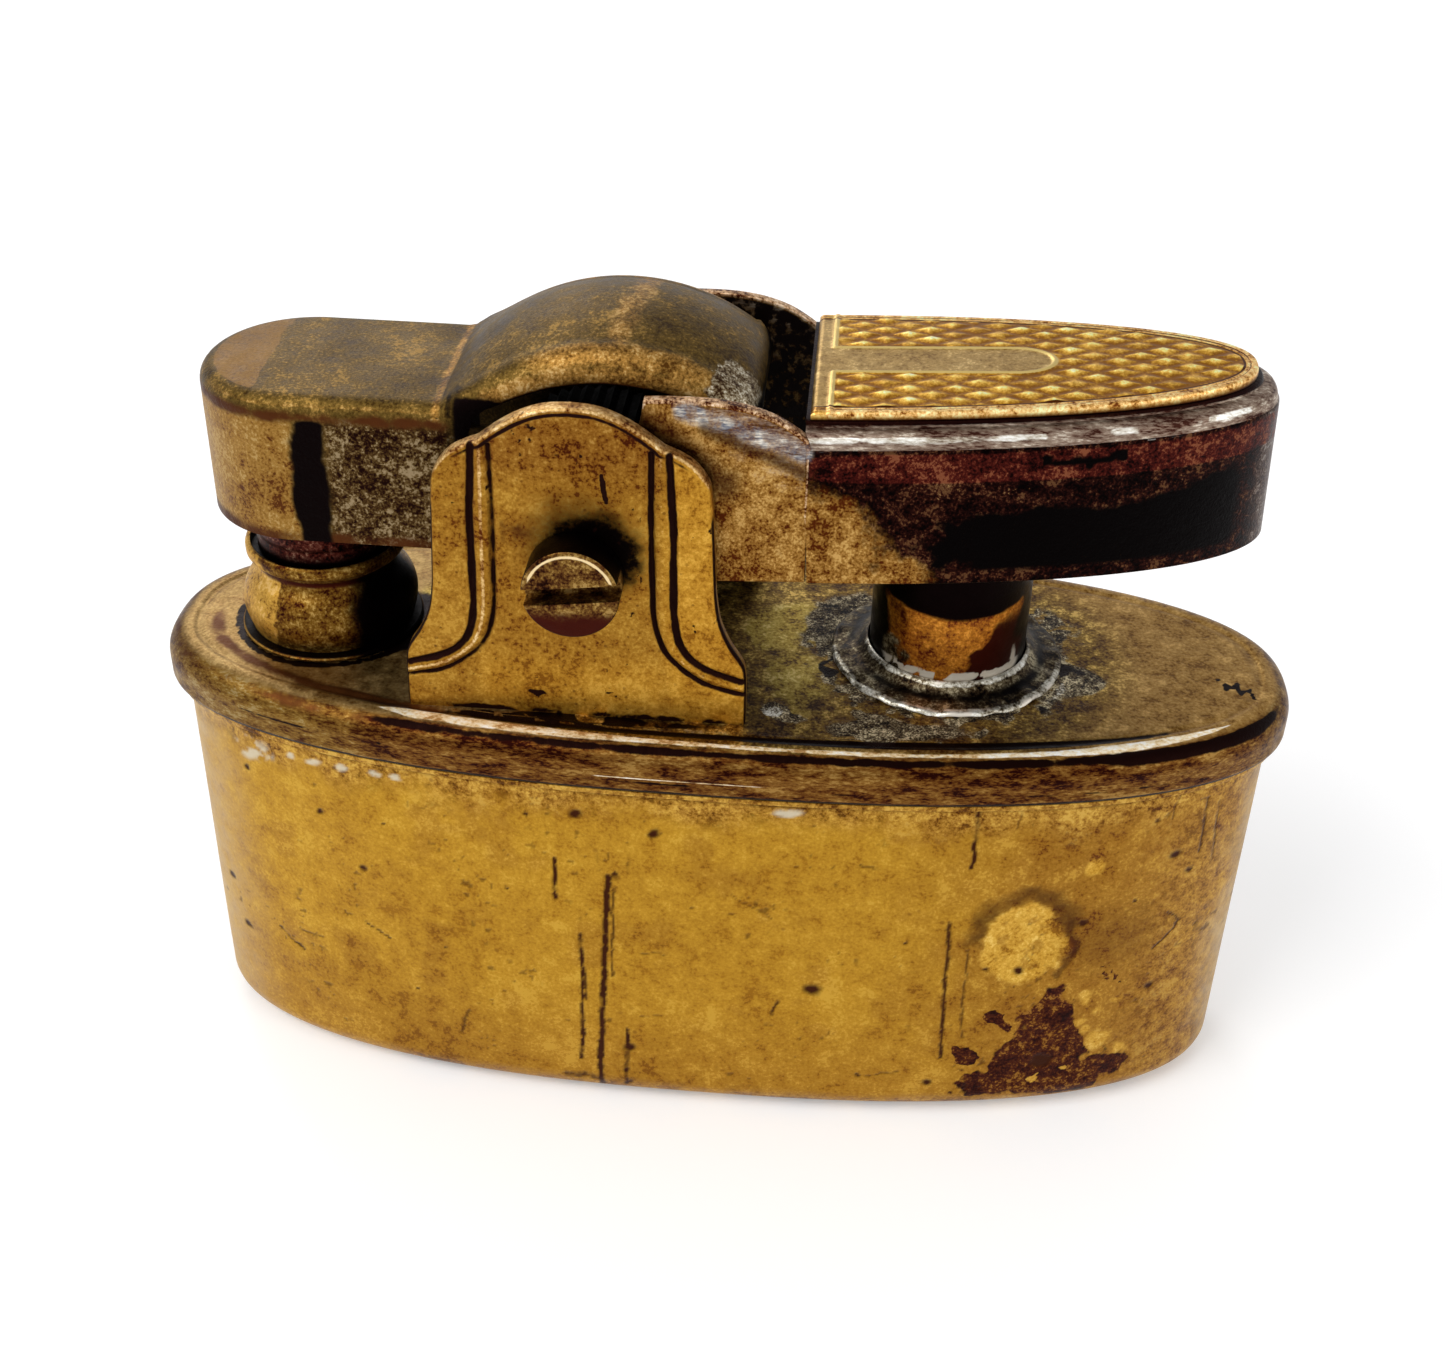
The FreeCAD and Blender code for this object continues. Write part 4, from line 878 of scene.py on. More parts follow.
    # painted shadow of the dent: a dark crescent along its upper edge and a dark line down its right side, carried in
    # brown and added to mark
    dent_shadow_top = stroke(ox, oz, [(13.7, 12.6), (14.34, 14.3), (15.84, 15.4), (17.6, 14.9), (18.5, 13.4)], 0.95, 0.8) * (1 - oval)
    dent_shadow_right = stroke(ox, oz, [(18.5, 13.4), (18.75, 11.6), (17.9, 9.7)], 0.35, 0.7) * (1 - oval)
    brown = np.maximum(dent_shadow_top * 0.75, dent_shadow_right * 0.85) * (0.6 + 0.6 * n2) * F
    brown = np.maximum(brown, blob(x, z, 20.5, 12.0, 3.8, 3.4, 0.9) * 0.30 * F)
    mark = np.maximum(mark, np.clip(brown, 0, 1) * 0.8)
    band = sst(z + 1.6 * (n1 - 0.5), 18.4, 20.6) * (z < 21.4) * 0.9
    band = np.maximum(band, sst(z, 2.1, 0.4) * sst(n1, 0.35, 0.6) * 0.9)
    band = np.maximum(band, sst(x, 20.0, 24.5) * 0.55 * (y < 0))
    right = sst(x + 5.0 * (n1 - 0.5), 7.5, 17.5)
    right = np.maximum(right, 0.55 * sst(z, 9.0, 1.5))
    right = np.maximum(right, 0.5 * sst(n1, 0.55, 0.85))
    pale = sst(x, -22.5, -27.3) * 0.62
    pale = np.maximum(pale, sst(x + 2.2 * (n1 - .5), 24.9, 27.9) * 0.62)
    pale = pale * (0.55 + 0.6 * n2)
    white = blob(wx, wz, 3.95, 20.32, 0.95, 0.36, 0.5)
    white = np.maximum(white, blob(ox, oz, -23.2, 19.6, 1.5, 0.95, 0.6) * sst(n2, 0.3, 0.6))
    for cx, r in ((-19.66, .45), (-18.17, .42), (-16.39, .36), (-15.35, .34), (-20.9, .25)):
        white = np.maximum(white, blob(wx, wz, cx, 20.05, r * 1.2, 0.26, 0.6))
    white = white * F * 0.85
    foot = sst(z, 0.5, 0.1)
    mark = np.maximum(mark, foot * 0.5 * sst(n1, 0.3, 0.6))
    # painted shadow: a dark line round the tank just under the lid's lip
    lip_shadow = sst(z, 20.55, 20.80) * (z < 21.0) * (0.45 + 0.55 * sst(fbm(x, y, 0.8, 4, 111), 0.25, 0.5))
    mark = np.maximum(mark, lip_shadow * 0.9)
    return {"mark": mark, "stain": stain, "brt": brt, "band": band, "right": right, "pale": pale, "white": white}


tank = oval_shell("tank_wall", OV_T, prof, [(FILL_X, 0, 4.0), (AX, 0, 2.4)], 0.0, FLOOR_T, M_TANK, warp_tank, 38, tank_paint)
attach(tank, "tank"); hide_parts("tank_body")

# ------------------------------------------------------------------ top plate
prof = [(2.0, TOP_Z), (1.80, TOP_Z - 0.01), (1.66, TOP_Z - 0.05), (1.55, TOP_Z - 0.06), (1.44, TOP_Z - 0.04), (1.34, TOP_Z)]
prof += arc_pts(16, 0.0, TOP_Z, RIM_R, "top_out")
prof += [(0.0, z) for z in np.linspace(22.66, 21.75, 12)]
prof += [(0.03, 21.62), (0.09, 21.52), (0.18, 21.44), (0.35, 21.37), (0.72, 21.37), (0.72, 22.80), (2.25, 22.80), (2.25, 22.96)]


def lid_off(x, y):
    """distance inside the lid's outline, roughly"""
    f = (np.abs(x) / OV_A) ** OV_N + (np.abs(y) / OV_B) ** OV_N
    gx = OV_N * np.abs(x / OV_A) ** (OV_N - 1) / OV_A
    gy = OV_N * np.abs(y / OV_B) ** (OV_N - 1) / OV_B
    return (1 - f) / np.maximum(np.hypot(gx, gy), 0.02)


def lid_paint(v):
    x, y, z = v[:, 0], v[:, 1], v[:, 2]
    off = lid_off(x, y)
    flat = sst(z, 23.80, 23.92)
    front = sst(y, 1.0, -1.5)
    n1 = fbm(x, y, 0.45, 5, 11); n2 = fbm(x, y + z, 1.3, 5, 21); n3 = fbm(x * 0.6, y + z, 1.0, 4, 26)
    # dk along the rim: the dark line just inside the edge on the top face and the thin dark lines on the rounding and
    # the lip's face are painted dark reflections of the rounded lip; the darkening at the lip's lower edge is painted
    # shade under the lip
    al = np.exp(-((off - 1.75) / 0.42) ** 2)
    dk = al * front * np.interp(x, [-28, -16, -12, -8, -3, 3, 8, 14, 20, 24, 27], [0, 0.1, .55, .8, .75, .85, 1.15, 1.15, .7, .35, 0])
    dk = np.maximum(dk, np.exp(-((off - 0.50) / 0.24) ** 2) * front * np.interp(x, [-28, -20, -14, 0, 15, 19, 26, 28], [0, .15, .75, .8, .8, 1.0, .9, 0.2]) * (0.55 + 0.75 * n3))
    dk = np.maximum(dk, np.exp(-((off - 0.42) / 0.28) ** 2) * np.interp(x, [17.5, 20, 26.5, 28], [0, 1.1, 1.1, 0.2]) * front * (z > 22.9))
    dk = np.maximum(dk, sst(z, 21.72, 21.58) * (off < 0.6) * (0.60 + 0.75 * n3))
    dk = np.maximum(dk, np.exp(-((z - 22.12) / 0.07) ** 2) * (off < 0.2) * np.interp(x, [-28, -10, 5, 28], [.2, .55, .75, .6]) * n3 * 1.5)
    dk = np.maximum(dk, np.exp(-((z - 22.62) / 0.09) ** 2) * (off < 0.3) * np.interp(x, [-28, -16, -6, 28], [.5, .9, .6, .5]) * sst(n3, .35, .7))
    # painted highlight: a near-white line along the rim's rounded top edge, and a thin one on the lip's face
    lt = np.exp(-((off - np.interp(x, [-15, -4, 10, 18, 23], [1.22, 1.02, .92, 0.98, 1.10])) /
                  np.interp(x, [-16, -14, -5, -2, 12, 16.5, 19, 22, 24], [.14, .44, .30, .17, .17, .22, .38, .30, .16])) ** 2)
    lt = lt * front * np.interp(x, [-17, -15, -3, 12, 24, 26], [0, 1.0, .95, .9, 1.0, 0]) * (0.75 + 0.35 * n2) * (z > 23.0)
    lt = np.maximum(lt, 0.75 * np.exp(-((z - 22.36) / 0.06) ** 2) * (off < 0.2) * np.interp(x, [-7, -5, 2, 5], [0, 1, 1, 0]) * front)
    brown = np.exp(-((off - np.interp(x, [-28, -20, -13], [3.0, 2.2, 1.7])) / 0.55) ** 2) * sst(x, -11.0, -14.0) * front * (0.55 + 0.7 * n2)
    brown = np.maximum(brown, np.exp(-((off - 0.5) / 0.35) ** 2) * sst(x, -13, -19) * 0.75 * n2 * 1.4)
    brown = np.maximum(brown, np.exp(-((off - 1.9) / 0.5) ** 2) * sst(x, 21, 25) * 0.4 * n2 * 1.6)
    left = np.maximum(sst(x, -14.0, -20.0), sst(x, 25.5, 27.8) * 0.7)
    dp = np.hypot(x - SX, y); ang = np.arctan2(y, x - SX)
    wob = 1.2 * (fbm(x, y, 0.5, 4, 33) - 0.5)
    crack = sst(dp + wob * 2.2, 8.2, 6.0) * sst(y, 6.5, 3.0) * (0.35 + 0.75 * sst(n2, 0.42, 0.62))
    crack = np.maximum(crack, blob(x + wob, y + wob, 17.6, -1.6, 2.2, 2.0, 0.5) * .95)
    crack = np.maximum(crack, blob(x + wob, y + wob, 3.4, -6.3, 2.0, 1.1, 0.6))
    crack = np.maximum(crack, 0.45 * np.exp(-((off - 2.2) / 0.45) ** 2) * front * sst(x, -15.5, -13.5) * sst(x, 11.0, 7.0) * sst(n2, .25, .5))
    crack = np.maximum(crack, blob(x + wob, y + wob, 8.6, -7.3, 4.6, 1.3, 0.6) * .9)
    crack = np.maximum(crack, blob(x + wob, y + wob, 6.2, 2.4, 2.6, 3.6, 0.6) * .9)
    dkp = blob(x + wob, y + wob, 17.4, -1.2, 1.9, 1.3, 0.6) + blob(x + wob, y + wob, 6.3, -2.0, 1.5, 2.8, 0.6) + blob(x + wob, y + wob, 15.6, -4.4, 1.2, 1.0, .7)
    dk = np.maximum(dk, np.clip(dkp, 0, 1) * 0.8 * sst(n2, 0.3, 0.6) * flat)
    mid = np.maximum(sst(np.abs(x + 1.0) + 3 * (n1 - .5), 9.5, 5.5), sst(dp, 10.5, 7.0)) * 0.9
    mid = np.maximum(mid, blob(x, y, -14.2, -4.2, 3.2, 2.6, .8) * 0.35)
    yel = np.maximum(blob(x + wob, y + wob, 4.0, -3.0, 2.8, 3.6, 0.6) * (0.6 + 0.5 * n2), blob(x + wob, y + wob, 3.4, 1.6, 3.0, 3.2, 0.6))
    yel = np.maximum(yel, blob(x + wob, y + wob, -14.5, 2.2, 2.6, 2.8, 0.6) * 0.8)
    yel = np.maximum(yel, blob(x + wob, y + wob, 3.4, -5.0, 3.4, 2.4, 0.7) * 0.75 * sst(n2, .3, .55))
    white = 0.45 * sst(np.abs(dp + wob * 0.8 - 6.45), 0.75, 0.2) * sst(n2, 0.35, 0.6) * sst(y, -1.0, -3.6)
    white = np.maximum(white, blob(x + wob * .4, y + wob * .4, 2.8, -6.3, 0.9, 0.6, 0.6) * 1.0)
    white = np.maximum(white, blob(x + wob * .6, y + wob * .6, 16.9, -2.8, 0.5, 1.2, 0.7) * .6)
    white = np.maximum(white, blob(x, y, -15.6, -3.5, 2.4, 1.6, .9) * .28)
    shadow = blob(x, y, -16.2, -0.2, 2.6, 4.2, .6) * flat
    dk = np.maximum(dk, shadow * 0.9)
    # painted shade: a dark ring round the front of the wick holder's foot and a dark strip on the plate along the foot
    # of the front standard
    dk = np.maximum(dk, sst(np.abs(np.hypot(x - WX, y) - 4.75), 0.4, 0.1) * flat * sst(y, 1.5, 0.0) * .8)
    dk = np.maximum(dk, blob(x, y, ST_X, -7.9, 8.6, 0.55, .5) * flat * sst(n2, 0.2, 0.5) * 0.9)
    sc = np.zeros(len(x))
    for pts in ([(24.9, -1.0), (25.3, -2.1)], [(25.6, -0.9), (25.8, -2.2)], [(26.1, -1.2), (26.4, -2.4)], [(25.0, -1.5), (26.2, -1.8)]):
        sc = np.maximum(sc, stroke(x + 0.2 * (n2 - .5), y, pts, .16, .5))
    dk = np.maximum(dk, sc * 0.8 * flat)
    return {"flat": flat, "dk": dk, "lt": lt, "brown": brown, "left": left, "crack": crack * flat, "mid": mid, "yel": yel, "white": white * flat}


def in_lid(x, y, mg):
    if lid_off(np.float64(x), np.float64(y)) < 2.02 + mg:
        return False
    for cx, r in ((WX, 2.65), (AX, 2.13), (SX, 3.33)):
        if math.hypot(x - cx, y) < r + mg:
            return False
    return True


plate = oval_shell("lid_plate", OV_P, prof, [(WX, 0, 2.65), (AX, 0, 2.13), (SX, 0, 3.33)], TOP_Z, 22.96, M_PLATE, None, 50, lid_paint, (0.30, in_lid))
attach(plate, "tank"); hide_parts("top_plate")

# ------------------------------------------------------------------ standards
HALF = [(8.10, 23.90), (8.09, 25.2), (8.05, 26.60), (7.87, 27.30), (7.25, 28.32), (6.80, 29.45), (6.60, 30.70), (6.52, 32.0), (6.43, 34.0),
        (6.33, 35.70), (6.24, 36.4), (6.02, 36.92), (5.48, 37.58), (4.85, 37.98), (4.15, 38.28)]
ARCH = [(4.15, 38.28), (3.72, 38.62), (3.18, 39.02), (2.5, 39.44), (1.70, 39.80), (0.9, 40.0), (0.0, 40.06)]
outl = catmull(HALF, 10)[:-1] + catmull(ARCH, 8)
G_IN = catmull([(3.62, 38.1), (3.60, 36.0), (3.60, 34.4), (3.66, 31.5), (3.74, 29.6), (4.09, 28.18), (4.75, 27.2), (6.18, 26.15), (7.95, 25.68)], 8)
G_OUT = catmull([(4.40, 38.0), (4.52, 36.0), (4.62, 34.4), (4.64, 31.5), (4.70, 29.5), (5.08, 28.0), (6.10, 27.02), (7.85, 26.40)], 8)


def standard(name, sgn):
    NC = 181
    us = np.linspace(-1, 1, NC)
    rows = np.array(outl)
    # densify rows
    L = np.concatenate([[0], np.cumsum(np.hypot(*np.diff(rows, axis=0).T))])
    s = np.linspace(0, L[-1], 250)
    hw = np.interp(s, L, rows[:, 0]); zz = np.interp(s, L, rows[:, 1])
    zz[-1] = 40.06; hw = np.maximum(hw, 0.02)
    X = hw[:, None] * us[None, :]
    Z = np.repeat(zz[:, None], NC, 1)
    full = [(-a, b) for a, b in rows] + [(a, b) for a, b in rows[::-1]]
    dE = poly_dist(X, Z, full)
    aX = np.abs(X)
    d1 = poly_dist(aX, Z, G_IN); d2 = poly_dist(aX, Z, G_OUT)
    groove = np.maximum(np.exp(-(d1 / 0.12) ** 2), np.exp(-(d2 / 0.14) ** 2))
    gi = np.array(G_IN); go = np.array(G_OUT)
    bead = np.clip(1 - np.abs(d1 - d2) / 0.75, 0, 1) * np.clip(1 - (d1 + d2) / 1.6, 0, 1) * 1.6
    bead = np.clip(bead, 0, 1)
    R = 0.16
    bev = np.where(dE < R, R - np.sqrt(np.clip(R * R - (R - dE) ** 2, 0, None)), 0)
    dep = bev + 0.17 * groove - 0.08 * bead
    dep = dep - 0.03 * np.sin(X * 0.5) * np.sin(Z * 0.6)
    Yf = -(ST_Y - 0.0) + np.clip(dep, -0.09, 0.4)
    bevb = np.where(dE < 0.08, 0.08 - dE, 0)
    Yb = -(ST_Y - ST_T) - bevb
    nr = len(zz)
    verts = [(ST_X + X[i, j], -sgn * -1 * Yf[i, j] if False else (Yf[i, j] if sgn < 0 else -Yf[i, j]), Z[i, j]) for i in range(nr) for j in range(NC)]
    verts += [(ST_X + X[i, j], (Yb[i, j] if sgn < 0 else -Yb[i, j]), Z[i, j]) for i in range(nr) for j in range(NC)]
    K = nr * NC
    faces = grid_faces(nr, NC) + [tuple(reversed(f)) for f in grid_faces(nr, NC, base=K)]
    for i in range(nr - 1):
        faces.append((i * NC, (i + 1) * NC, K + (i + 1) * NC, K + i * NC))
        faces.append((i * NC + NC - 1, K + i * NC + NC - 1, K + (i + 1) * NC + NC - 1, (i + 1) * NC + NC - 1))
    for j in range(NC - 1):
        faces.append((j, K + j, K + j + 1, j + 1))
        t = (nr - 1) * NC
        faces.append((t + j, t + j + 1, K + t + j + 1, K + t + j))
    nz = fbm(X, Z, 1.2, 5, 5); nf_ = fbm(X, Z, 3.2, 4, 9)
    gl = np.maximum(np.exp(-(d1 / 0.17) ** 2) * np.where(X < 0, 0.75, 1.0), np.exp(-(d2 / 0.22) ** 2))
    gl = gl * (0.70 + 0.5 * nz)
    bottomz = sst(Z, 24.5, 24.0)
    dirt_f = np.maximum(gl, bottomz * 0.75 * nz * 1.4)
    dirt_f = np.maximum(dirt_f, 0.85 * np.exp(-((dE - 0.30) / 0.13) ** 2) * sst(Z, 36.5, 38.2) * (0.5 + 0.6 * nz))
    dirt_f = np.maximum(dirt_f, 0.8 * np.exp(-(dE / 0.12) ** 2) * sst(Z, 36.0, 34.5))
    dirt_f = np.maximum(dirt_f, 0.9 * stroke(ST_X + X + 0.1 * (nf_ - .5), Z, [(-5.05, 36.9), (-4.85, 35.6)], 0.16, .6))
    dirt_f = np.maximum(dirt_f, 0.8 * blob(ST_X + X, Z + .2 * (nf_ - .5), -8.3, 25.1, .62, .25, .5))
    dirt_f = np.maximum(dirt_f, 0.6 * sst(nf_, 0.78, 0.9) * sst(fbm(X, Z, .5, 2, 77), .5, .7))
    hx = ST_X + X + 0.5 * (nf_ - 0.5); hz = Z + 0.5 * (nz - 0.5)
    # painted dark reflection of the protruding screw head in the standard's face, with dark patina round it
    head_reflection_and_patina = np.maximum(blob(hx, hz, AX + 0.75, AZ + 1.1, 3.7, 3.5, 0.75), 0.55 * blob(hx, hz, AX + 0.1, AZ + 1.9, 4.6, 4.4, 0.9))
    head_reflection_and_patina = np.maximum(head_reflection_and_patina, 0.0) * sst(Z, AZ - 3.2, AZ + 0.4)
    brown_ = 0.55 * blob(hx, hz, AX - 2.6, AZ + 2.0, 2.0, 2.0, .9)
    lite = sst(X, 3.7, 4.8) * 0.95
    lite = np.maximum(lite, sst(Z, 28.2, 25.8) * 0.75 * sst(np.abs(X), 5.2, 3.8))
    shade = sst(Z, 35.4, 38.0) * 0.9 * sst(np.abs(X), 4.8, 3.4)
    shade = np.maximum(shade, 0.45 * blob(X, Z, 0, 33.5, 3.8, 5.5, .9))
    front_ = 1.0 if sgn < 0 else 0.0
    zz0 = np.zeros(K)
    topedge = np.exp(-(dE / 0.16) ** 2) * sst(Z, 35.8, 37.2)
    wearf = np.maximum(topedge, 0.62 * np.clip(bead, 0, 1) * (gl < 0.45) * (0.6 + 0.6 * nf_))
    wearf = np.maximum(wearf, 0.8 * np.exp(-((d1 - d2 - 0.0) / 0.25) ** 2) * (d1 + d2 < 1.3) * np.where(X < 0, 0.9, 0.5))
    # dirt: front-face grime, then for the inner face a flat darkening that is painted shade between the standard and
    # the mechanism
    attrs_ = {"dirt": np.concatenate([np.clip(dirt_f, 0, 1).ravel(), (0.65 * sst(dE, 0.02, 0.3)).ravel()]),
              "wear": np.concatenate([np.clip(wearf, 0, 1).ravel(), topedge.ravel()]),
              "head_reflection_and_patina": np.concatenate([(head_reflection_and_patina * front_).ravel(), zz0]), "brown": np.concatenate([(brown_ * front_).ravel(), zz0]),
              "lite": np.concatenate([lite.ravel(), zz0]), "shade": np.concatenate([shade.ravel(), zz0])}
    ob = mesh_obj(name, verts, faces, M_STD, 50, attrs_)
    return ob


for nm, s, node in (("standard_front", -1, "front_standard"), ("standard_rear", 1, "rear_standard")):
    o = standard(nm, s)
    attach(o, "tank"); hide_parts(node)

# ------------------------------------------------------------------ axle screw
def screw_paint(v):
    x, y, z = v[:, 0], v[:, 1], v[:, 2]
    r = np.hypot(x - AX, z - AZ)
    # dk: the head's cylindrical side painted dark, as shade and dark reflection seen from above
    dk = ((y > Y0 + 0.10) & (y < Y1 + 0.02) & (r > HEAD_R - 0.3)) * 1.0
    # painted highlight along the upper edge of the head's face
    lt = np.exp(-((r - (HEAD_R - 0.26)) / 0.09) ** 2) * (y < Y0 + 0.1) * sst(z - AZ, 0.2, 0.9) * 0.9
    br = 0.75 * sst(z - AZ, -0.3, -1.4) * (y < Y0 + 0.1)
    return {"dk": dk, "lt": lt * 0.95, "brown": br, "pb": r * 0}


R, Y0, Y1 = HEAD_R, -ST_Y - HEAD_H, -ST_Y
prof = [(0.001, Y0 - 0.0)] + [(k, Y0 + 0.03 * (k / R) ** 2) for k in (0.3, 0.6, 0.9, 1.2, 1.5, 1.75, R - 0.36)] + [(R - 0.26, Y0 + 0.035), (R - 0.19, Y0 + 0.04)] + rnd((R - 0.14, Y0 + 0.045), (R - 0.02, Y0 + 0.05), (R, Y0 + 0.16), 5) + \
       [(R, Y1 - 0.1), (R - 0.06, Y1), (1.1, Y1), (1.1, 8.7), (0.85, 9.0), (0.001, 9.0)]
screw = lathe("screw_axle", prof, AX, M_SCREW, 96, "y", False, 30, AZ,
              lambda vs: screw_paint(np.array(vs)))
ct = mesh_obj("cut", [], [], M_SCREW)
bm = bmesh.new()
bmesh.ops.create_cube(bm, size=1.0)
bmesh.ops.scale(bm, vec=(8, 2.2, 0.82), verts=bm.verts)
bmesh.ops.translate(bm, vec=(0, Y0 - 0.15, 0), verts=bm.verts)
bmesh.ops.rotate(bm, cent=(0, 0, 0), matrix=Matrix.Rotation(math.radians(-7), 3, "Y"), verts=bm.verts)
bmesh.ops.translate(bm, vec=(AX, 0, AZ), verts=bm.verts)
bmesh.ops.scale(bm, vec=(MM, MM, MM), verts=bm.verts)
bm.to_mesh(ct.data); bm.free()
md = screw.modifiers.new("b", "BOOLEAN"); md.operation = "DIFFERENCE"; md.solver = "EXACT"; md.object = ct
apply_mods(screw); bpy.data.objects.remove(ct)
resmooth(screw, 30)
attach(screw, "tank"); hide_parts("axle_screw")

# ------------------------------------------------------------------ wick tube, cup, post, collar
wt = [(1.5, 19.2), (2.55, 19.2), (2.6, 19.3), (2.6, TOP_Z), (4.45, TOP_Z), (4.56, TOP_Z + 0.06), (4.56, 24.10), (4.46, 24.20), (4.10, 24.22), (4.08, 24.34)] + \
     catmull([(4.12, 24.42), (4.24, 24.75), (4.34, 25.2), (4.36, 25.7), (4.22, 26.3), (3.95, 26.8), (3.68, 27.15), (3.50, 27.45), (3.46, 27.75), (3.52, 28.0)], 5) + \
     [(3.72, 28.14), (3.88, 28.20), (3.96, 28.32), (3.97, 28.5), (3.97, 28.66), (3.92, 28.80), (3.82, 28.88), (3.72, 28.86), (3.66, 28.78), (3.64, 28.52),
      (2.1, 28.52), (2.1, 29.78), (2.0, 29.9), (1.55, 29.9)]


def wick_paint(vs):
    v = np.array(vs)
    x, y, z = v[:, 0], v[:, 1], v[:, 2]
    a = np.arctan2(y, x - WX); r = np.hypot(x - WX, y)
    n = fbm(a * 3.0, z, 0.8, 4, 7)
    px_ = (x - WX) / 4.4
    # painted light and shade: the left side keeps the light palette, the rest goes to the darker one
    pb = sst(px_ + 0.35 * (n - 0.5), -0.62, -0.42)
    pb = np.maximum(pb, (z > 27.9) * 0.25)
    # painted shade: the right side of the holder darkened towards black
    dk = sst(px_ + 0.16 * (n - 0.5), 0.25, 0.72) * (z < 27.9) * sst(y, 1.6, 0.0)
    dk = np.maximum(dk, (z < 24.3) * (r < 4.5) * 0.9)
    dk = np.maximum(dk, ((z > 28.4) & (r < 3.7)) * 0.95)
    brown = np.exp(-((z - 27.75) / 0.28) ** 2) * 0.75
    brown = np.maximum(brown, (z < 24.25) * 0.45)
    lt = 0.0 * z
    return {"pb": pb, "dk": dk, "brown": brown, "lt": lt}


o = lathe("wick_holder", wt, WX, M_WICKT, 160, "z", True, 40, 0, wick_paint)
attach(o, "tank"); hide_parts("wick_tube")
cup = [(2.85, 28.58), (3.28, 28.56), (3.35, 28.64), (3.35, 29.2), (3.28, 29.3), (3.28, 29.5), (3.35, 29.6)] + [(3.35, z) for z in np.linspace(29.8, 32.1, 8)] + \
      rnd((3.35, 32.1), (3.35, 32.5), (2.9, 32.5), 4)[1:] + [(0.62, 32.5), (0.62, 32.0), (2.85, 32.0)]


def cup_paint(vs):
    v = np.array(vs)
    z = v[:, 2]
    return {"dk": np.maximum(sst(z, 29.5, 28.9) * 0.9, 0), "pb": 0.3 + 0 * z, "brown": 0.3 + 0 * z}


o = lathe("snuff_cap", cup, WX, M_CUP, 96, "z", True, 35, 0, cup_paint)
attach(o, "cup"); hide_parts("snuffer_cup")
sl = [(3.35, TOP_Z + 0.01), (3.84, TOP_Z + 0.01), (3.89, TOP_Z + 0.06)] + [(3.89, z) for z in np.linspace(24.2, 33.05, 40)] + [(3.84, 33.18), (3.75, 33.2), (3.4, 33.2), (3.35, 33.1)]


def post_paint(vs):
    v = np.array(vs)
    x, y, z = v[:, 0], v[:, 1], v[:, 2]
    a = np.arctan2(y, x - SX)
    n = fbm(a * 3.0, z, 0.7, 5, 13); n2 = fbm(a * 3, z, 2.0, 4, 19)
    px_ = (x - SX) / 3.89
    # painted shade: both flanks of the sleeve darkened
    dk = sst(px_ + 0.16 * (n - .5), -0.74, -0.90) * sst(y, 2.0, 0.0)
    dk = np.maximum(dk, sst(px_ + 0.22 * (n - .5), 0.74, 0.94) * sst(y, 2.0, 0.0))
    top = sst(z - 0.30 * (1 - px_ ** 2) * -1.0, 27.6, 28.6)
    top = sst(z, 28.9 - 1.3 * 1, 29.2)
    # painted shadow of the lever: a dark arc near the top of the sleeve
    arcz = 29.4 - 1.15 * np.sqrt(np.clip(1 - px_ ** 2, 0, 1))
    dk = np.maximum(dk, sst(z - arcz, -0.15, 0.15) * 0.95)
    brown = sst(px_ + 0.5 * (n - .5) - (z - 26.5) * 0.10, 0.22, 0.45) * sst(z, 29.5, 27.0) * 0.85
    pb = sst(px_ + 0.3 * (n - .5), -0.50, -0.74) * sst(z, 27.5, 25.5)
    # painted highlight: a bright band near the foot and a vertical streak on the right
    lt = np.exp(-((z - 25.05) / 0.30) ** 2) * sst(n2, 0.25, 0.50) * sst(y, 0.5, -1.0)
    lt = np.maximum(lt, 0.7 * np.exp(-((px_ - 0.80) / 0.05) ** 2) * sst(z, 27.5, 25.5) * sst(y, 0.5, -1.0) * sst(n2, .3, .5))
    return {"dk": dk, "brown": brown, "pb": pb, "lt": lt}


o = lathe("post_tube", sl, SX, M_POST, 160, "z", True, 35, 0, post_paint)
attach(o, "tank"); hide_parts("spring_sleeve")
co = [(3.93, TOP_Z), (5.70, TOP_Z), (5.78, TOP_Z + 0.05), (5.74, TOP_Z + 0.16)] + \
     catmull([(5.6, TOP_Z + 0.22), (5.2, TOP_Z + 0.28), (4.8, TOP_Z + 0.36), (4.5, TOP_Z + 0.50), (4.25, TOP_Z + 0.70), (4.08, TOP_Z + 0.86), (3.98, TOP_Z + 0.90), (3.93, TOP_Z + 0.84)], 5)


def collar_paint(vs):
    v = np.array(vs)
    x, y, z = v[:, 0], v[:, 1], v[:, 2]
    r = np.hypot(x - SX, y); a = np.arctan2(y, x - SX)
    n = fbm(a * 5.0, r, 1.2, 4, 23)
    f_ = sst(y, 0.5, -2.0)
    pb = np.maximum(np.exp(-((r - 5.75) / 0.35) ** 2), np.exp(-((r - 4.05) / 0.22) ** 2) * 0.95) * (0.55 + 0.75 * n) * (0.3 + 0.7 * f_)
    dk = np.exp(-((r - 4.75) / 0.32) ** 2) * (0.55 + 0.6 * n) * sst(a, -3.0, -2.2)
    dk = dk * 0.85
    # painted highlight: glints on the white crust rings
    return {"pb": pb, "dk": dk, "brown": 0.15 * (1 - f_) + 0 * r, "lt": pb * 0.5 * sst(n, .55, .75)}


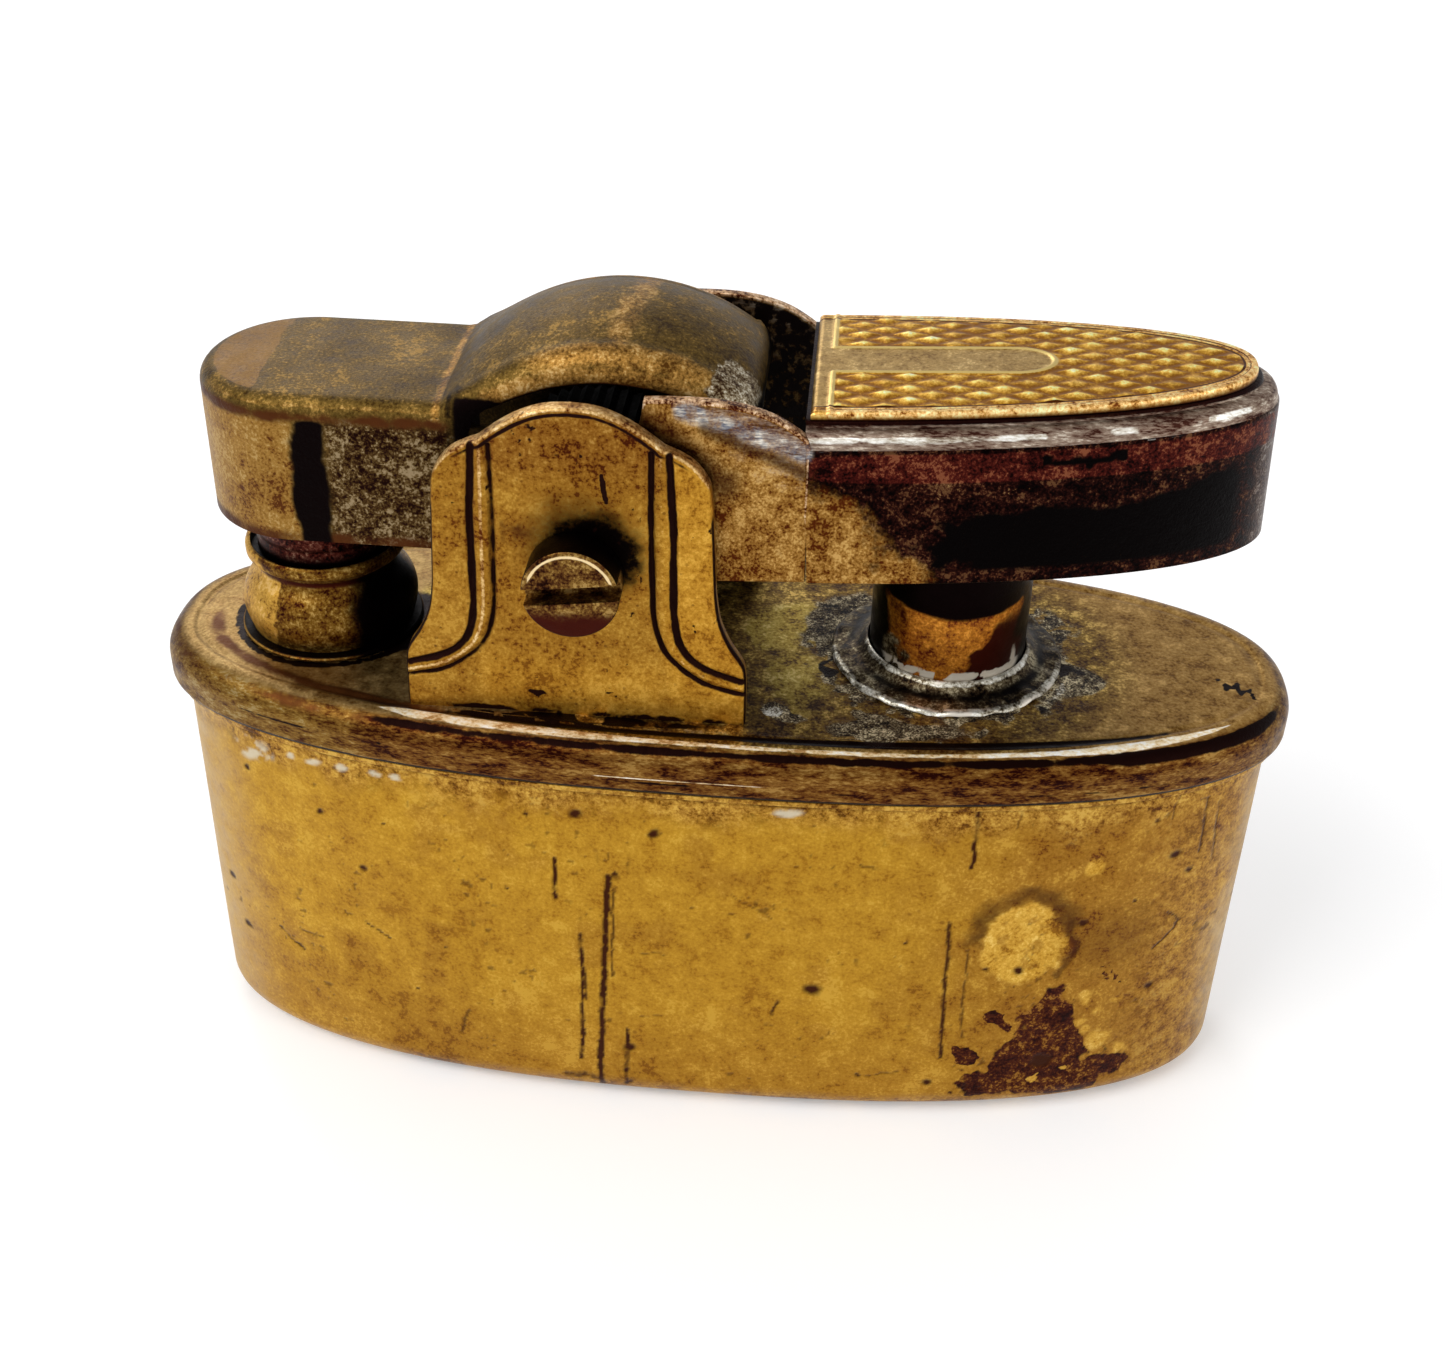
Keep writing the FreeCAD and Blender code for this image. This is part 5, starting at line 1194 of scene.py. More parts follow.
o = lathe("post_ring", co, SX, M_COLLAR, 200, "z", True, 60, 0, collar_paint)
me_ = o.data
for v_ in me_.vertices:
    x_, y_ = v_.co.x / MM - SX, v_.co.y / MM
    a_ = math.atan2(y_, x_); r_ = math.hypot(x_, y_)
    if r_ > 4.6 and v_.co.z / MM > TOP_Z + 0.02:
        k_ = 0.05 * math.sin(a_ * 9 + 1) + 0.05 * math.sin(a_ * 17 + 2) + 0.03 * math.sin(a_ * 31)
        v_.co.z += k_ * 0.8 * MM * (r_ - 4.6)
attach(o, "tank"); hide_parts("sleeve_collar")

# ------------------------------------------------------------------ snuffer arm and hood
def arm_section(H, B, crown, r, n_wall=22):
    """half section from the lower edge to the middle: list of (w, z)"""
    Hs = H - crown
    pts = [(ARM_W, z) for z in np.linspace(B, Hs - r, n_wall)]
    for i in range(1, 11):
        t = math.pi / 2 * i / 10
        pts.append((ARM_W - r * (1 - math.cos(t)), Hs - r * (1 - math.sin(t))))
    wf = ARM_W - r
    for i in range(1, 15):
        w = wf * (1 - i / 14)
        pts.append((w, Hs + crown * (1 - (w / wf) ** 2)))
    return pts


def hood_top(x):
    if x <= -12.75:
        return ARM_ZT
    z = HD_Z + math.sqrt(max(HD_R ** 2 - (x - HD_X) ** 2, 0))
    return z


def hood_low(x):
    """lower edge of the side skirt"""
    if x <= -12.3:
        return ARM_ZB
    if x <= -11.35:
        t = (x + 12.3) / 0.95
        return ARM_ZB + (37.55 - ARM_ZB) * (t * t * (3 - 2 * t))
    return HD_Z + math.sqrt(max(HD_RI ** 2 - (x - HD_X) ** 2, 0)) if x < 1.6 else 38.1


stations = []
xs = list(np.linspace(-20.1, -13.2, 24)) + list(np.linspace(-13.1, -11.2, 26)) + list(np.linspace(-11.0, 0.9, 64)[0:])
for x in xs:
    cr = 0.10 + 0.5 * (1 / (1 + math.exp(-(x + 11.9) * 3.0)))
    r = 0.9 + 0.5 * (1 / (1 + math.exp(-(x + 11.0) * 2.0)))
    H = hood_top(x)
    # soften the crease a little
    if -13.4 < x < -12.0:
        H = max(H, ARM_ZT) + 0.10 * math.exp(-((x + 12.75) / 0.25) ** 2)
    stations.append((x, H, min(hood_low(x), H - cr - r - 0.15), cr, r))
# turned-down right end
ends = []
x_e, H_e = 0.9, hood_top(0.9)
for i in range(1, 11):
    t = i / 10
    a = math.radians(36 + (88 - 36) * t)
    ends.append(None)
px, pz, ang = 0.9, H_e, math.radians(36)
step_ = 0.30
for i in range(1, 13):
    ang = math.radians(min(88, 36 + 52 * i / 7))
    px += step_ * math.cos(ang); pz -= step_ * math.sin(ang)
    if pz < 38.75:
        break
    stations.append((px, pz, min(hood_low(px), pz - 0.9), 0.55, 1.0))

ARM_WALL = 0.55
rows, meta = [], []


def sec_pair(H, B, cr, r):
    """closed section: outside from the lower edge to the middle, then back along the inside"""
    outer = arm_section(H, B, cr, r)
    inner = []
    n = len(outer)
    for k, (w, z) in enumerate(outer):
        a_, b_ = outer[max(k - 1, 0)], outer[min(k + 1, n - 1)]
        tx, tz = b_[0] - a_[0], b_[1] - a_[1]
        if k == 0:
            tx, tz = 0.0, 1.0
        if k == n - 1:
            tx, tz = -1.0, 0.0
        l_ = math.hypot(tx, tz) or 1.0
        inner.append((max(w - ARM_WALL * tz / l_, 0.0), z + ARM_WALL * tx / l_))
    return outer + inner[::-1]


NO = len(arm_section(40, 38, 0.1, 1.0))
NS = 2 * NO
verts, info = [], []


def emit(cx, nx_, ny_, sec, xs_, lowz):
    for k, (w, z) in enumerate(sec):
        verts.append((cx + nx_ * w, ny_ * w, z))
        info.append((cx + nx_ * w, ny_ * w, z, w, lowz, 1.0 if k >= NO else 0.0, xs_))


nrow = 0
for (x, H, B, cr, r) in reversed(stations):
    emit(x, 0, -1, sec_pair(H, B, cr, r), x, B); nrow += 1
for i in range(1, 56):
    a = -math.pi / 2 - math.pi * i / 56
    emit(WX, math.cos(a), math.sin(a), sec_pair(ARM_ZT, ARM_ZB, 0.10, 0.9), WX - 5, ARM_ZB); nrow += 1
for (x, H, B, cr, r) in stations:
    emit(x, 0, 1, sec_pair(H, B, cr, r), x, B); nrow += 1
faces = [f for f in grid_faces(nrow, NS) if f[0] % NS != NO - 1]
for i in range(nrow - 1):
    faces.append((i * NS, (i + 1) * NS, (i + 1) * NS + NS - 1, i * NS + NS - 1))
for rr in (0, nrow - 1):
    for k in range(NO - 1):
        faces.append((rr * NS + k, rr * NS + k + 1, rr * NS + NS - 2 - k, rr * NS + NS - 1 - k))
T = np.array(info)
x, y, z, w_, low, ins, xs_ = T.T
hood = sst(xs_, -12.6, -11.8)
side = sst(z, 37.75, 37.3) * (1 - hood)
n1 = fbm(x + 30, z + y * .7, 0.5, 5, 3); n2 = fbm(x, z + y, 1.4, 5, 13); n3 = fbm(x, y - z, 3.0, 3, 23)
aa = np.clip((w_ - (ARM_W - 0.7)) / 0.7, -1, 1)
wear = hood * np.maximum(sst(z - low, 1.5, 0.2) * (w_ > ARM_W - .7) * 0.95,
                         0.80 * np.exp(-((w_ - 4.4) / 0.8) ** 2) * sst(np.abs(x + 4.3), 7.5, 2.5))
wear = np.maximum(wear, 0.62 * hood * stroke(x + .8 * (n1 - .5), y, [(-4.9, -4.2), (-4.4, 0.5), (-4.2, 3.5)], 1.3, 0.9))
wear = np.maximum(wear, 0.66 * np.exp(-((xs_ + 12.95) / 0.35) ** 2) * (z > 37.6))
wear = np.maximum(wear, 0.5 * (1 - hood) * np.exp(-((z - 38.15) / 0.16) ** 2) * (w_ > 3.9))
brown = (1 - hood) * np.exp(-((z - 37.62) / 0.36) ** 2) * (0.5 + 0.6 * n2)
brown = np.maximum(brown, (1 - hood) * sst(z, 32.3, 31.3) * (0.35 + 0.7 * n1))
brown = np.maximum(brown, hood * (w_ > 4.2) * sst(z - low, 0.30, 0.0) * .8)
ck = (xs_ < -20.05)
sidel = side * sst(x, -19.3, -19.9)
sidem = side * sst(x, -18.6, -17.8)
blkb = side * np.exp(-((x + 18.95 + 0.5 * (n1 - .5)) / 0.85) ** 4) * sst(y, -2.5, -3.6)

grey = hood * sst(x + 1.2 * (n2 - .5), -1.1, -0.1) * sst(w_, 1.5, 3.6) * 0.95 * (y < 0)
grey = np.maximum(grey, side * sst(x, -17.0, -15.5) * sst(n2, .5, .8) * .3)
smooth = (1 - hood) * sst(x + 0.7 * (n1 - .5), -21.2, -21.9) * sst(z, 38.1, 38.45) * sst(w_, 4.5, 4.0)
dk = np.maximum(blkb, 0.75 * hood * (w_ > 4.5) * sst(z - low, 0.18, 0.0))
edge_dark = np.exp(-((xs_ + 12.35) / 0.22) ** 2) * 0.55 + hood * sst(x, -11.6, -12.3) * 0.3
dk = np.maximum(dk, edge_dark * (0.45 + 0.55 * (w_ > 4)) * (0.4 + n2))
dk = np.maximum(dk, hood * sst(z + 0.5 * (n2 - .5), 39.35, 38.75) * 0.85)
# inside marks the shell's inner surfaces, which are painted near black as shade
arm = mesh_obj("arm_shell", verts, faces, M_ARM, 50, {"wear": wear, "brown": brown, "sidel": sidel, "sidem": sidem, "dk": dk * (1 - ins),
                                                       "grey": grey, "smooth": smooth, "inside": ins})
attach(arm, "snuffer"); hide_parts("snuffer_arm")


def plate_solid(name, outline, y0, y1, mat, holes=(), bevel=0.08, angle=35, attrs=None):
    """Flat plate in the XZ plane with rounded edges; holes are (x, z, r)."""
    bm = bmesh.new()
    n = len(outline)
    vs = [bm.verts.new((p[0] * MM, y0 * MM, p[1] * MM)) for p in outline]
    es = [bm.edges.new((vs[i], vs[(i + 1) % n])) for i in range(n)]
    for (hx, hz, hr) in holes:
        hv = [bm.verts.new(((hx + hr * math.cos(2 * math.pi * i / 40)) * MM, y0 * MM, (hz + hr * math.sin(2 * math.pi * i / 40)) * MM)) for i in range(40)]
        es += [bm.edges.new((hv[i], hv[(i + 1) % 40])) for i in range(40)]
    bmesh.ops.triangle_fill(bm, use_beauty=True, use_dissolve=False, edges=es, normal=(0, 1, 0))
    bmesh.ops.inset_region(bm, faces=list(bm.faces), thickness=0.22 * MM, use_even_offset=True, use_boundary=True)
    ext = bmesh.ops.extrude_face_region(bm, geom=list(bm.faces))
    mv = [g_ for g_ in ext["geom"] if isinstance(g_, bmesh.types.BMVert)]
    bmesh.ops.translate(bm, vec=(0, (y1 - y0) * MM, 0), verts=mv)
    bmesh.ops.recalc_face_normals(bm, faces=bm.faces)
    if bevel:
        be = [e for e in bm.edges if len(e.link_faces) == 2 and e.calc_face_angle(0) > math.radians(60)]
        bmesh.ops.bevel(bm, geom=be, offset=bevel * MM, segments=3, profile=0.5, affect="EDGES", clamp_overlap=True)
    me = bpy.data.meshes.new(name)
    bm.to_mesh(me); bm.free()
    me.materials.append(mat)
    ob = bpy.data.objects.new(name, me)
    scene.collection.objects.link(ob)
    resmooth(ob, angle)
    for k, v in (attrs or {}).items():
        a = me.attributes.new(k, "FLOAT", "POINT")
        a.data.foreach_set("value", np.full(len(me.vertices), v, np.float32))
    return ob


def circ2(cx, cz, r, a0, a1, n):
    return [(cx + r * math.cos(math.radians(a0 + (a1 - a0) * i / n)), cz + r * math.sin(math.radians(a0 + (a1 - a0) * i / n))) for i in range(n + 1)]


# hub cheeks of the arm, inside the standards
d_ = math.hypot(AX - PX, AZ - PZ)
ux, uz = (AX - PX) / d_, (AZ - PZ) / d_
cheek = [(-12.9, 31.3), (-9.4, 28.2)] + circ2(AX, AZ, 4.6, 228, 290, 14)[0:] + circ2(AX, AZ, 4.6, 290, 430, 30)[1:] + [(-11.2, 37.55), (-12.9, 38.0)]
sx0, sx1 = 2.7, 3.22
slot_c = [(AX + ux * k, AZ + uz * k, 0.78) for k in (sx0, sx1)]
for s in (-1, 1):
    y0, y1 = sorted((s * 4.95, s * 4.42))
    # the hub cheeks get inside 0.75: painted mostly dark as shade under the hood
    o = plate_solid("hub_cheek_%s" % ("front" if s < 0 else "rear"), cheek, y0, y1, M_ARM, [(AX, AZ, 1.5), (AX + ux * 2.96, AZ + uz * 2.96, 1.02)], 0.07, 35,
                    {"wear": 0.0, "inside": 0.75})
    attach(o, "snuffer"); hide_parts("snuffer_arm")

# ------------------------------------------------------------------ thumb lever
def bullet(x0, tip, w, n, off, ts):
    out = []
    for t in ts:
        c, s = max(math.cos(t), 0.0), max(math.sin(t), 0.0)
        x = x0 + (tip - x0) * c ** (2 / n)
        y = w * s ** (2 / n)
        gx = (max(x - x0, 0) / (tip - x0)) ** (n - 1) / (tip - x0)
        gy = (y / w) ** (n - 1) / w
        g_ = math.hypot(gx, gy)
        out.append((x, y, gx / g_, gy / g_))
    return out


def tiltp(x, y, z):
    dx, dz = x - 4.0, z - 35.0
    c, s = math.cos(LV_TILT), math.sin(LV_TILT)
    return (4.0 + dx * c - dz * s, y, 35.0 + dx * s + dz * c)


# arc-length spacing along the bullet
tt = np.linspace(0, math.pi / 2, 4000)
bp_ = np.array([(p[0], p[1]) for p in bullet(LV_X0, LV_TIP, LV_W, LV_N, 0, tt)])
L = np.concatenate([[0], np.cumsum(np.hypot(*np.diff(bp_, axis=0).T))])
NB = 150
ts = np.interp(np.linspace(0, L[-1], NB), L, tt)
half = bullet(LV_X0, LV_TIP, LV_W, LV_N, 0, ts)
full = [(x, -y, nx_, -ny_) for x, y, nx_, ny_ in reversed(half)] + [p for p in half[1:]]
# section: (inset, z) from the lower edge up over the shoulder to the flat top
sec = [(0.0, z) for z in np.linspace(LV_ZB + 0.06, LV_ZT - 1.25, 22)]
sec = [(0.06, LV_ZB)] + sec
sec += [(0.02, LV_ZT - 1.12), (0.10, LV_ZT - 1.0)]                               # fine step
sec += [(0.10 + 0.62 * (1 - math.cos(math.pi / 2 * i / 9)), LV_ZT - 0.98 + 0.66 * math.sin(math.pi / 2 * i / 9)) for i in range(0, 10)]
sec += [(0.80, LV_ZT - 0.30), (0.84, LV_ZT - 0.12), (0.92, LV_ZT - 0.03), (1.1, LV_ZT), (1.6, LV_ZT)]
verts, lin = [], []
for (x, y, nx_, ny_) in full:
    for (o_, z) in sec:
        verts.append(tiltp(x - nx_ * o_, y - ny_ * o_, z))
        lin.append((x, y, z, o_))
nsec = len(sec)
faces = grid_faces(len(full), nsec)
# flat roof under the plate
inner = [verts[i * nsec + nsec - 1] for i in range(len(full))]
idx = [i * nsec + nsec - 1 for i in range(len(full))]
c0 = len(verts)
mid = [tiltp(x, 0.0, LV_ZT) for x in [max(LV_X0, min(p[0] - p[2] * 1.6, LV_TIP)) for p in full]]
for p in mid:
    verts.append(p); lin.append((p[0], 0.0, LV_ZT, 3.0))
for i in range(len(full) - 1):
    faces.append((idx[i], idx[i + 1], c0 + i + 1, c0 + i))

def lever_paint(x, y, z, o_):
    """x, y, z in the lever's own untilted frame, o_ the inset from its side"""
    n1 = fbm(x, z + y * .5, 0.45, 5, 43); n2 = fbm(x, z + y, 1.3, 5, 53)
    front = sst(y, 0.5, -1.0)
    q = LV_ZT - z
    sd = (o_ < 0.09)
    # mid: dark body of the lever side, patina plus painted dark reflection of the plate
    mid = sst(x + 4.5 * (n1 - .5) + (z - 34.5) * 0.7, 3.5, 9.0)
    mid = np.maximum(mid, 0.35 * sst(z, 35.5, 37.8))
    right = sst(x, 24.0, 25.0) * 0.85 * sd
    fleck = 0.26 * sst(x, 6.5, 9.0) * sst(x, 24.5, 22.0) * np.maximum(sst(q, 4.4, 3.2) * sst(q, 1.6, 2.4), sst(z, 32.1, 31.4) * 0.8)
    fleck = fleck + 0.12 * sst(n2, .5, .8)
    band = sst(np.abs(q - 1.95), 0.95, 0.45) * sd * np.interp(x, [-10, 4, 7, 25], [0.2, .55, 1, 1])
    # near-black patches: patina plus painted dark reflection of the plate on the lower side, and painted shade along
    # the shoulder
    black_reflection_and_patina = sst(z - (34.6 + 0.085 * (x - 10)) + 1.0 * (n1 - .5), 0.5, -0.5) * sst(x + 2.5 * (n2 - .5), 8.5, 11.5) * sst(x, 24.2, 22.8) * sst(z, 31.6, 32.4)
    black_reflection_and_patina = np.maximum(black_reflection_and_patina, 0.9 * stroke(x, z + 0.4 * (n2 - .5), [(14.5, 37.3), (18.0, 37.35)], 0.32, .6))
    black_reflection_and_patina = np.clip(black_reflection_and_patina, 0, 1) * sd * (0.25 + 0.75 * front)
    grey = ((o_ >= 0.09) & (o_ < 0.83)) * 1.0
    # painted highlight: thin pale lines along the rounded shoulder and the fine step
    lt = 0.80 * np.exp(-((o_ - 0.20) / 0.10) ** 2) * (q < 1.05) * (q > 0.3) * sst(n1, .30, .55)
    lt = np.maximum(lt, 0.45 * sst(np.abs(q - 1.16), 0.08, 0.03) * sd * sst(n2, .45, .6))
    lt = np.clip(lt, 0, 1)
    seat = (o_ > 0.83) * 0.95
    rb = grey * sst(np.abs(o_ - 0.74), 0.14, 0.05) * 0.9
    return {"mid": mid, "right": right, "fleck": fleck, "band": np.maximum(band, rb * .0), "black_reflection_and_patina": np.maximum(black_reflection_and_patina, rb * .75), "grey": grey, "lt": lt, "seat": seat, "ear_edge_highlight": x * 0, "inside": x * 0}


LT = np.array(lin)
lev = mesh_obj("lever_shell", verts, faces, M_LEV, 40, lever_paint(LT[:, 0], LT[:, 1], LT[:, 2], LT[:, 3]))
bm = bmesh.new(); bm.from_mesh(lev.data)
bmesh.ops.remove_doubles(bm, verts=bm.verts, dist=2e-6)
bmesh.ops.dissolve_degenerate(bm, edges=bm.edges, dist=1e-6)
bmesh.ops.recalc_face_normals(bm, faces=bm.faces)
top = max(bm.faces, key=lambda f: f.calc_center_median().z)
if top.normal.z < 0:
    bmesh.ops.reverse_faces(bm, faces=bm.faces)
bm.to_mesh(lev.data); bm.free()
outer_n = len(lev.data.vertices)
solidify(lev, 0.5)
# the inner shell after solidify is flagged inside and painted near black as shade
ins = np.zeros(len(lev.data.vertices), np.float32); ins[outer_n:] = 1.0
lev.data.attributes["inside"].data.foreach_set("value", ins)
resmooth(lev, 40)
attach(lev, "thumb"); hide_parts("thumb_lever")

DX, DZ = AX + ux * 2.7, AZ + uz * 2.7
c3, s3 = math.cos(LV_TILT), math.sin(LV_TILT)
zt4 = tiltp(4.25, 0, LV_ZT - 0.98)
top_arc = catmull([(zt4[0], zt4[2]), (3.9, 38.62), (3.3, 39.08), (2.45, 39.56), (1.35, 39.93), (0.2, 40.12), (-0.84, 40.18), (-2.2, 40.16), (-3.33, 40.10)], 6)
ear = top_arc + [(-3.42, 39.4), (-3.9, 37.2), (-8.0, 35.2)] + circ2(DX, DZ, 1.2, 95, 250, 10) + \
      [(AX + 1.62 * math.cos(math.radians(a)), AZ + 1.62 * math.sin(math.radians(a))) for a in (150, 130, 110, 90, 70, 50, 30, 10)] + \
      [(-4.75, 31.2), (-5.2, 30.7), (-5.0, 29.9), (-3.7, 28.6)] + circ2(PX, PZ, 1.7, 215, 372, 16) + [(-0.15, 29.2), (0.05, 31.15), (4.1, 31.36)]
for s in (-1, 1):
    y0, y1 = sorted((s * 6.35, s * 5.80))
    o = plate_solid("lever_ear_%s" % ("front" if s < 0 else "rear"), ear, y0, y1, M_LEV, [(PX, PZ, 0.85)], 0.07, 35, {"ear_edge_highlight": 0.0, "mid": 0.0, "grey": 0.0, "inside": 0.0, "fleck": 0.0, "black_reflection_and_patina": 0.0, "lt": 0.0})
    me = o.data
    co_ = np.array([tuple(v.co) for v in me.vertices]) / MM
    dt = poly_dist(co_[:, 0], co_[:, 2], top_arc)
    # painted highlight along the ear's rounded top edge
    me.attributes["ear_edge_highlight"].data.foreach_set("value", np.asarray(sst(dt, 0.24, 0.09) * 1.0, np.float32))
    me.attributes["grey"].data.foreach_set("value", np.asarray(sst(dt, 1.4, 0.8) * sst(dt, 0.1, 0.3) * sst(co_[:, 0], -3.6, -1.0) * 0.8, np.float32))
    # inside: the ear's inner face painted near black as shade inside the lever
    me.attributes["inside"].data.foreach_set("value", np.asarray((np.abs(co_[:, 1]) < 6.0) * sst(dt, 0.12, 0.22) * 1.0, np.float32))
    me.attributes["mid"].data.foreach_set("value", np.asarray(0.25 + 0 * dt, np.float32))
    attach(o, "thumb"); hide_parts("thumb_lever")

# ------------------------------------------------------------------ engraved thumb plate
NXP, NYP = 300, 150
tt2 = np.linspace(0, math.pi / 2, 3000)
pb = np.array([(p[0], p[1]) for p in bullet(PL_X0, PL_TIP, PL_W, LV_N, 0, tt2)])[::-1]
xs = PL_X0 + (PL_TIP - PL_X0) * (np.linspace(0, 1, NXP) ** 0.85)
xs[-1] = PL_TIP
hwp = np.interp(xs, pb[:, 0], pb[:, 1])
hwp = np.maximum(hwp, 0.03)
us = np.linspace(-1, 1, NYP)
X = np.repeat(xs[:, None], NYP, 1)
Yp = hwp[:, None] * us[None, :]
outline = [(a, b) for a, b in pb[::12]] + [tuple(pb[-1])]
line = [(PL_X0, -PL_W), (PL_X0, PL_W)]
dB = np.minimum(poly_dist(X, np.abs(Yp), outline), X - PL_X0 + 1e-3)
dSide = poly_dist(X, np.abs(Yp), outline)
# left end: corner rounding through the distance to the end line
P_, Q_ = 2.12, 1.18
U = X / P_ + Yp / Q_; W = X / P_ - Yp / Q_
fu = np.abs(U - np.round(U)); fw = np.abs(W - np.round(W))
cell = np.minimum(fu, fw) * 2.0            # 0 on a groove, 1 in the cell's middle
rise = np.clip(cell * 1.55 - 0.22, 0, 1) ** 1.1
rng = np.random.RandomState(7)
iu = np.floor(U).astype(int) - int(np.floor(U).min()); iw = np.floor(W).astype(int) - int(np.floor(W).min())
tab = rng.uniform(0.55, 1.0, (iu.max() + 2, iw.max() + 2))
rise = rise * tab[iu, iw]
XA, XB = 5.05, 14.9
cart_hw = 1.28
inr = 1.15
dc = np.where(X < XB - inr * 1.35, np.abs(Yp) - cart_hw, np.hypot(np.maximum(X - (XB - inr * 1.35), 0) / 1.35, Yp) - cart_hw)
plain = (dc < 0.0) | (X < XA - 0.12)
cline = np.exp(-((dc - 0.05) / 0.12) ** 2) * (X > XA - 0.1)
vline = np.exp(-((X - XA) / 0.13) ** 2) * (np.abs(Yp) > cart_hw)
bord = dSide < 0.62
bline = np.exp(-((dSide - 0.62) / 0.10) ** 2) + 0.8 * np.exp(-((dSide - 0.40) / 0.06) ** 2)
hgt = rise.copy()
hgt[plain] = 0.0
hgt[bord] = 0.35
lines_ = np.clip(np.maximum(cline, vline), 0, 1)
hgt = np.clip(np.maximum(hgt * (1 - lines_), lines_ * 0.8), 0, 1)
zoff = 0.13 * hgt - 0.05 * np.clip(bline, 0, 1) * (X > XA - 0.3)
zoff = np.where(plain & ~bord, 0.02, zoff)
zoff = np.maximum(zoff, lines_ * 0.10)
Rb = 0.14
bev = np.where(dB < Rb, Rb - np.sqrt(np.clip(Rb * Rb - (Rb - dB) ** 2, 0, None)), 0)
Ztop = LV_ZT + PL_T - 0.13 + zoff - bev + 0.05
# crown across
Ztop = Ztop + 0.10 * (1 - (Yp / PL_W) ** 2) - 0.05
verts = [tiltp(X[i, j], Yp[i, j], Ztop[i, j]) for i in range(NXP) for j in range(NYP)]
verts += [tiltp(X[i, j], Yp[i, j], LV_ZT + 0.01) for i in range(NXP) for j in range(NYP)]
K = NXP * NYP
faces = grid_faces(NXP, NYP) + [tuple(reversed(f)) for f in grid_faces(NXP, NYP, base=K)]
for i in range(NXP - 1):
    faces.append((i * NYP, (i + 1) * NYP, K + (i + 1) * NYP, K + i * NYP))
    faces.append((i * NYP + NYP - 1, K + i * NYP + NYP - 1, K + (i + 1) * NYP + NYP - 1, (i + 1) * NYP + NYP - 1))
for j in range(NYP - 1):
    faces.append((j, K + j, K + j + 1, j + 1))
    t = (NXP - 1) * NYP
    faces.append((t + j, t + j + 1, K + t + j + 1, K + t + j))
z0 = np.zeros(K)
bl = np.clip(bline, 0, 1)
at = {"rise": np.concatenate([hgt.ravel(), z0]), "plain": np.concatenate([(plain & ~bord).astype(float).ravel(), z0]),
      "line": np.concatenate([np.clip(lines_ * 1.1, 0, 1).ravel(), z0]),
      "border": np.concatenate([np.clip(sst(dSide, 0.60, 0.46) * np.where(X < XA - .2, 0.3, 1), 0, 1).ravel(), z0]),
      "dirt": np.concatenate([np.clip(np.exp(-((dSide - 0.62) / 0.07) ** 2) * 0.9 + 0.75 * np.exp(-((dSide - 0.36) / 0.045) ** 2) * (Yp > -9), 0, 1).ravel(), z0]),
      "seat": np.concatenate([z0, np.ones(K)])}
pl = mesh_obj("thumb_inlay", verts, faces, M_GILT, 60, at)
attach(pl, "thumb"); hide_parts("thumb_plate")

# ------------------------------------------------------------------ materials of the CAD pieces that stay
# the wheels and hub take the near-black steel, which is painted shade
KEEP = {"axle_nut": M_SCREW, "axle_sleeve": M_STEEL, "lever_pivot_pin": M_STEEL, "flint_wheel": M_SHADOW_STEEL, "ratchet_wheel": M_SHADOW_STEEL,
        "wheel_hub": M_SHADOW_STEEL, "wheel_spacers": M_INNER, "cup_seal": M_SEAL, "cup_stem": M_INNER, "cup_guide": M_INNER, "cup_spring": M_WIRE,
        "pawl": M_STEEL, "pawl_pin": M_STEEL, "pawl_spring": M_WIRE, "drive_pins": M_STEEL, "spring_cup": M_INNER, "spring_plunger": M_INNER,
        "wick": M_WICK, "cotton_packing": M_COTTON, "flint_tube": M_INNER, "flint": M_FLINT, "flint_plunger": M_INNER,
        "flint_spring": M_WIRE, "flint_screw": M_INNER, "filler_bush": M_INNER, "filler_washer": M_SEAL, "filler_screw": M_INNER}
for n_, m_ in KEEP.items():
    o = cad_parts[n_]
    o.data.materials.clear()
    o.data.materials.append(m_)

# The return spring in two lengths, so that its top goes down with the plunger instead of standing still under the lever.
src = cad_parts["return_spring"]
for nm, body, keep_top in (("return_spring_low", "tank", False), ("return_spring_high", "plunger", True)):
    bm = bmesh.new(); bm.from_mesh(src.data)
    bmesh.ops.transform(bm, matrix=src.matrix_world, verts=bm.verts)
    zs = [v.co.z for v in bm.verts]
    zc = 0.5 * (min(zs) + max(zs))
    bmesh.ops.bisect_plane(bm, geom=bm.verts[:] + bm.edges[:] + bm.faces[:], plane_co=(0, 0, zc), plane_no=(0, 0, 1),
                           clear_inner=keep_top, clear_outer=not keep_top)
    bmesh.ops.holes_fill(bm, edges=[e_ for e_ in bm.edges if e_.is_boundary], sides=0)
    me = bpy.data.meshes.new(nm)
    bm.to_mesh(me); bm.free()
    me.materials.append(M_WIRE)
    o = bpy.data.objects.new(nm, me); scene.collection.objects.link(o)
    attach(o, body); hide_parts("return_spring")

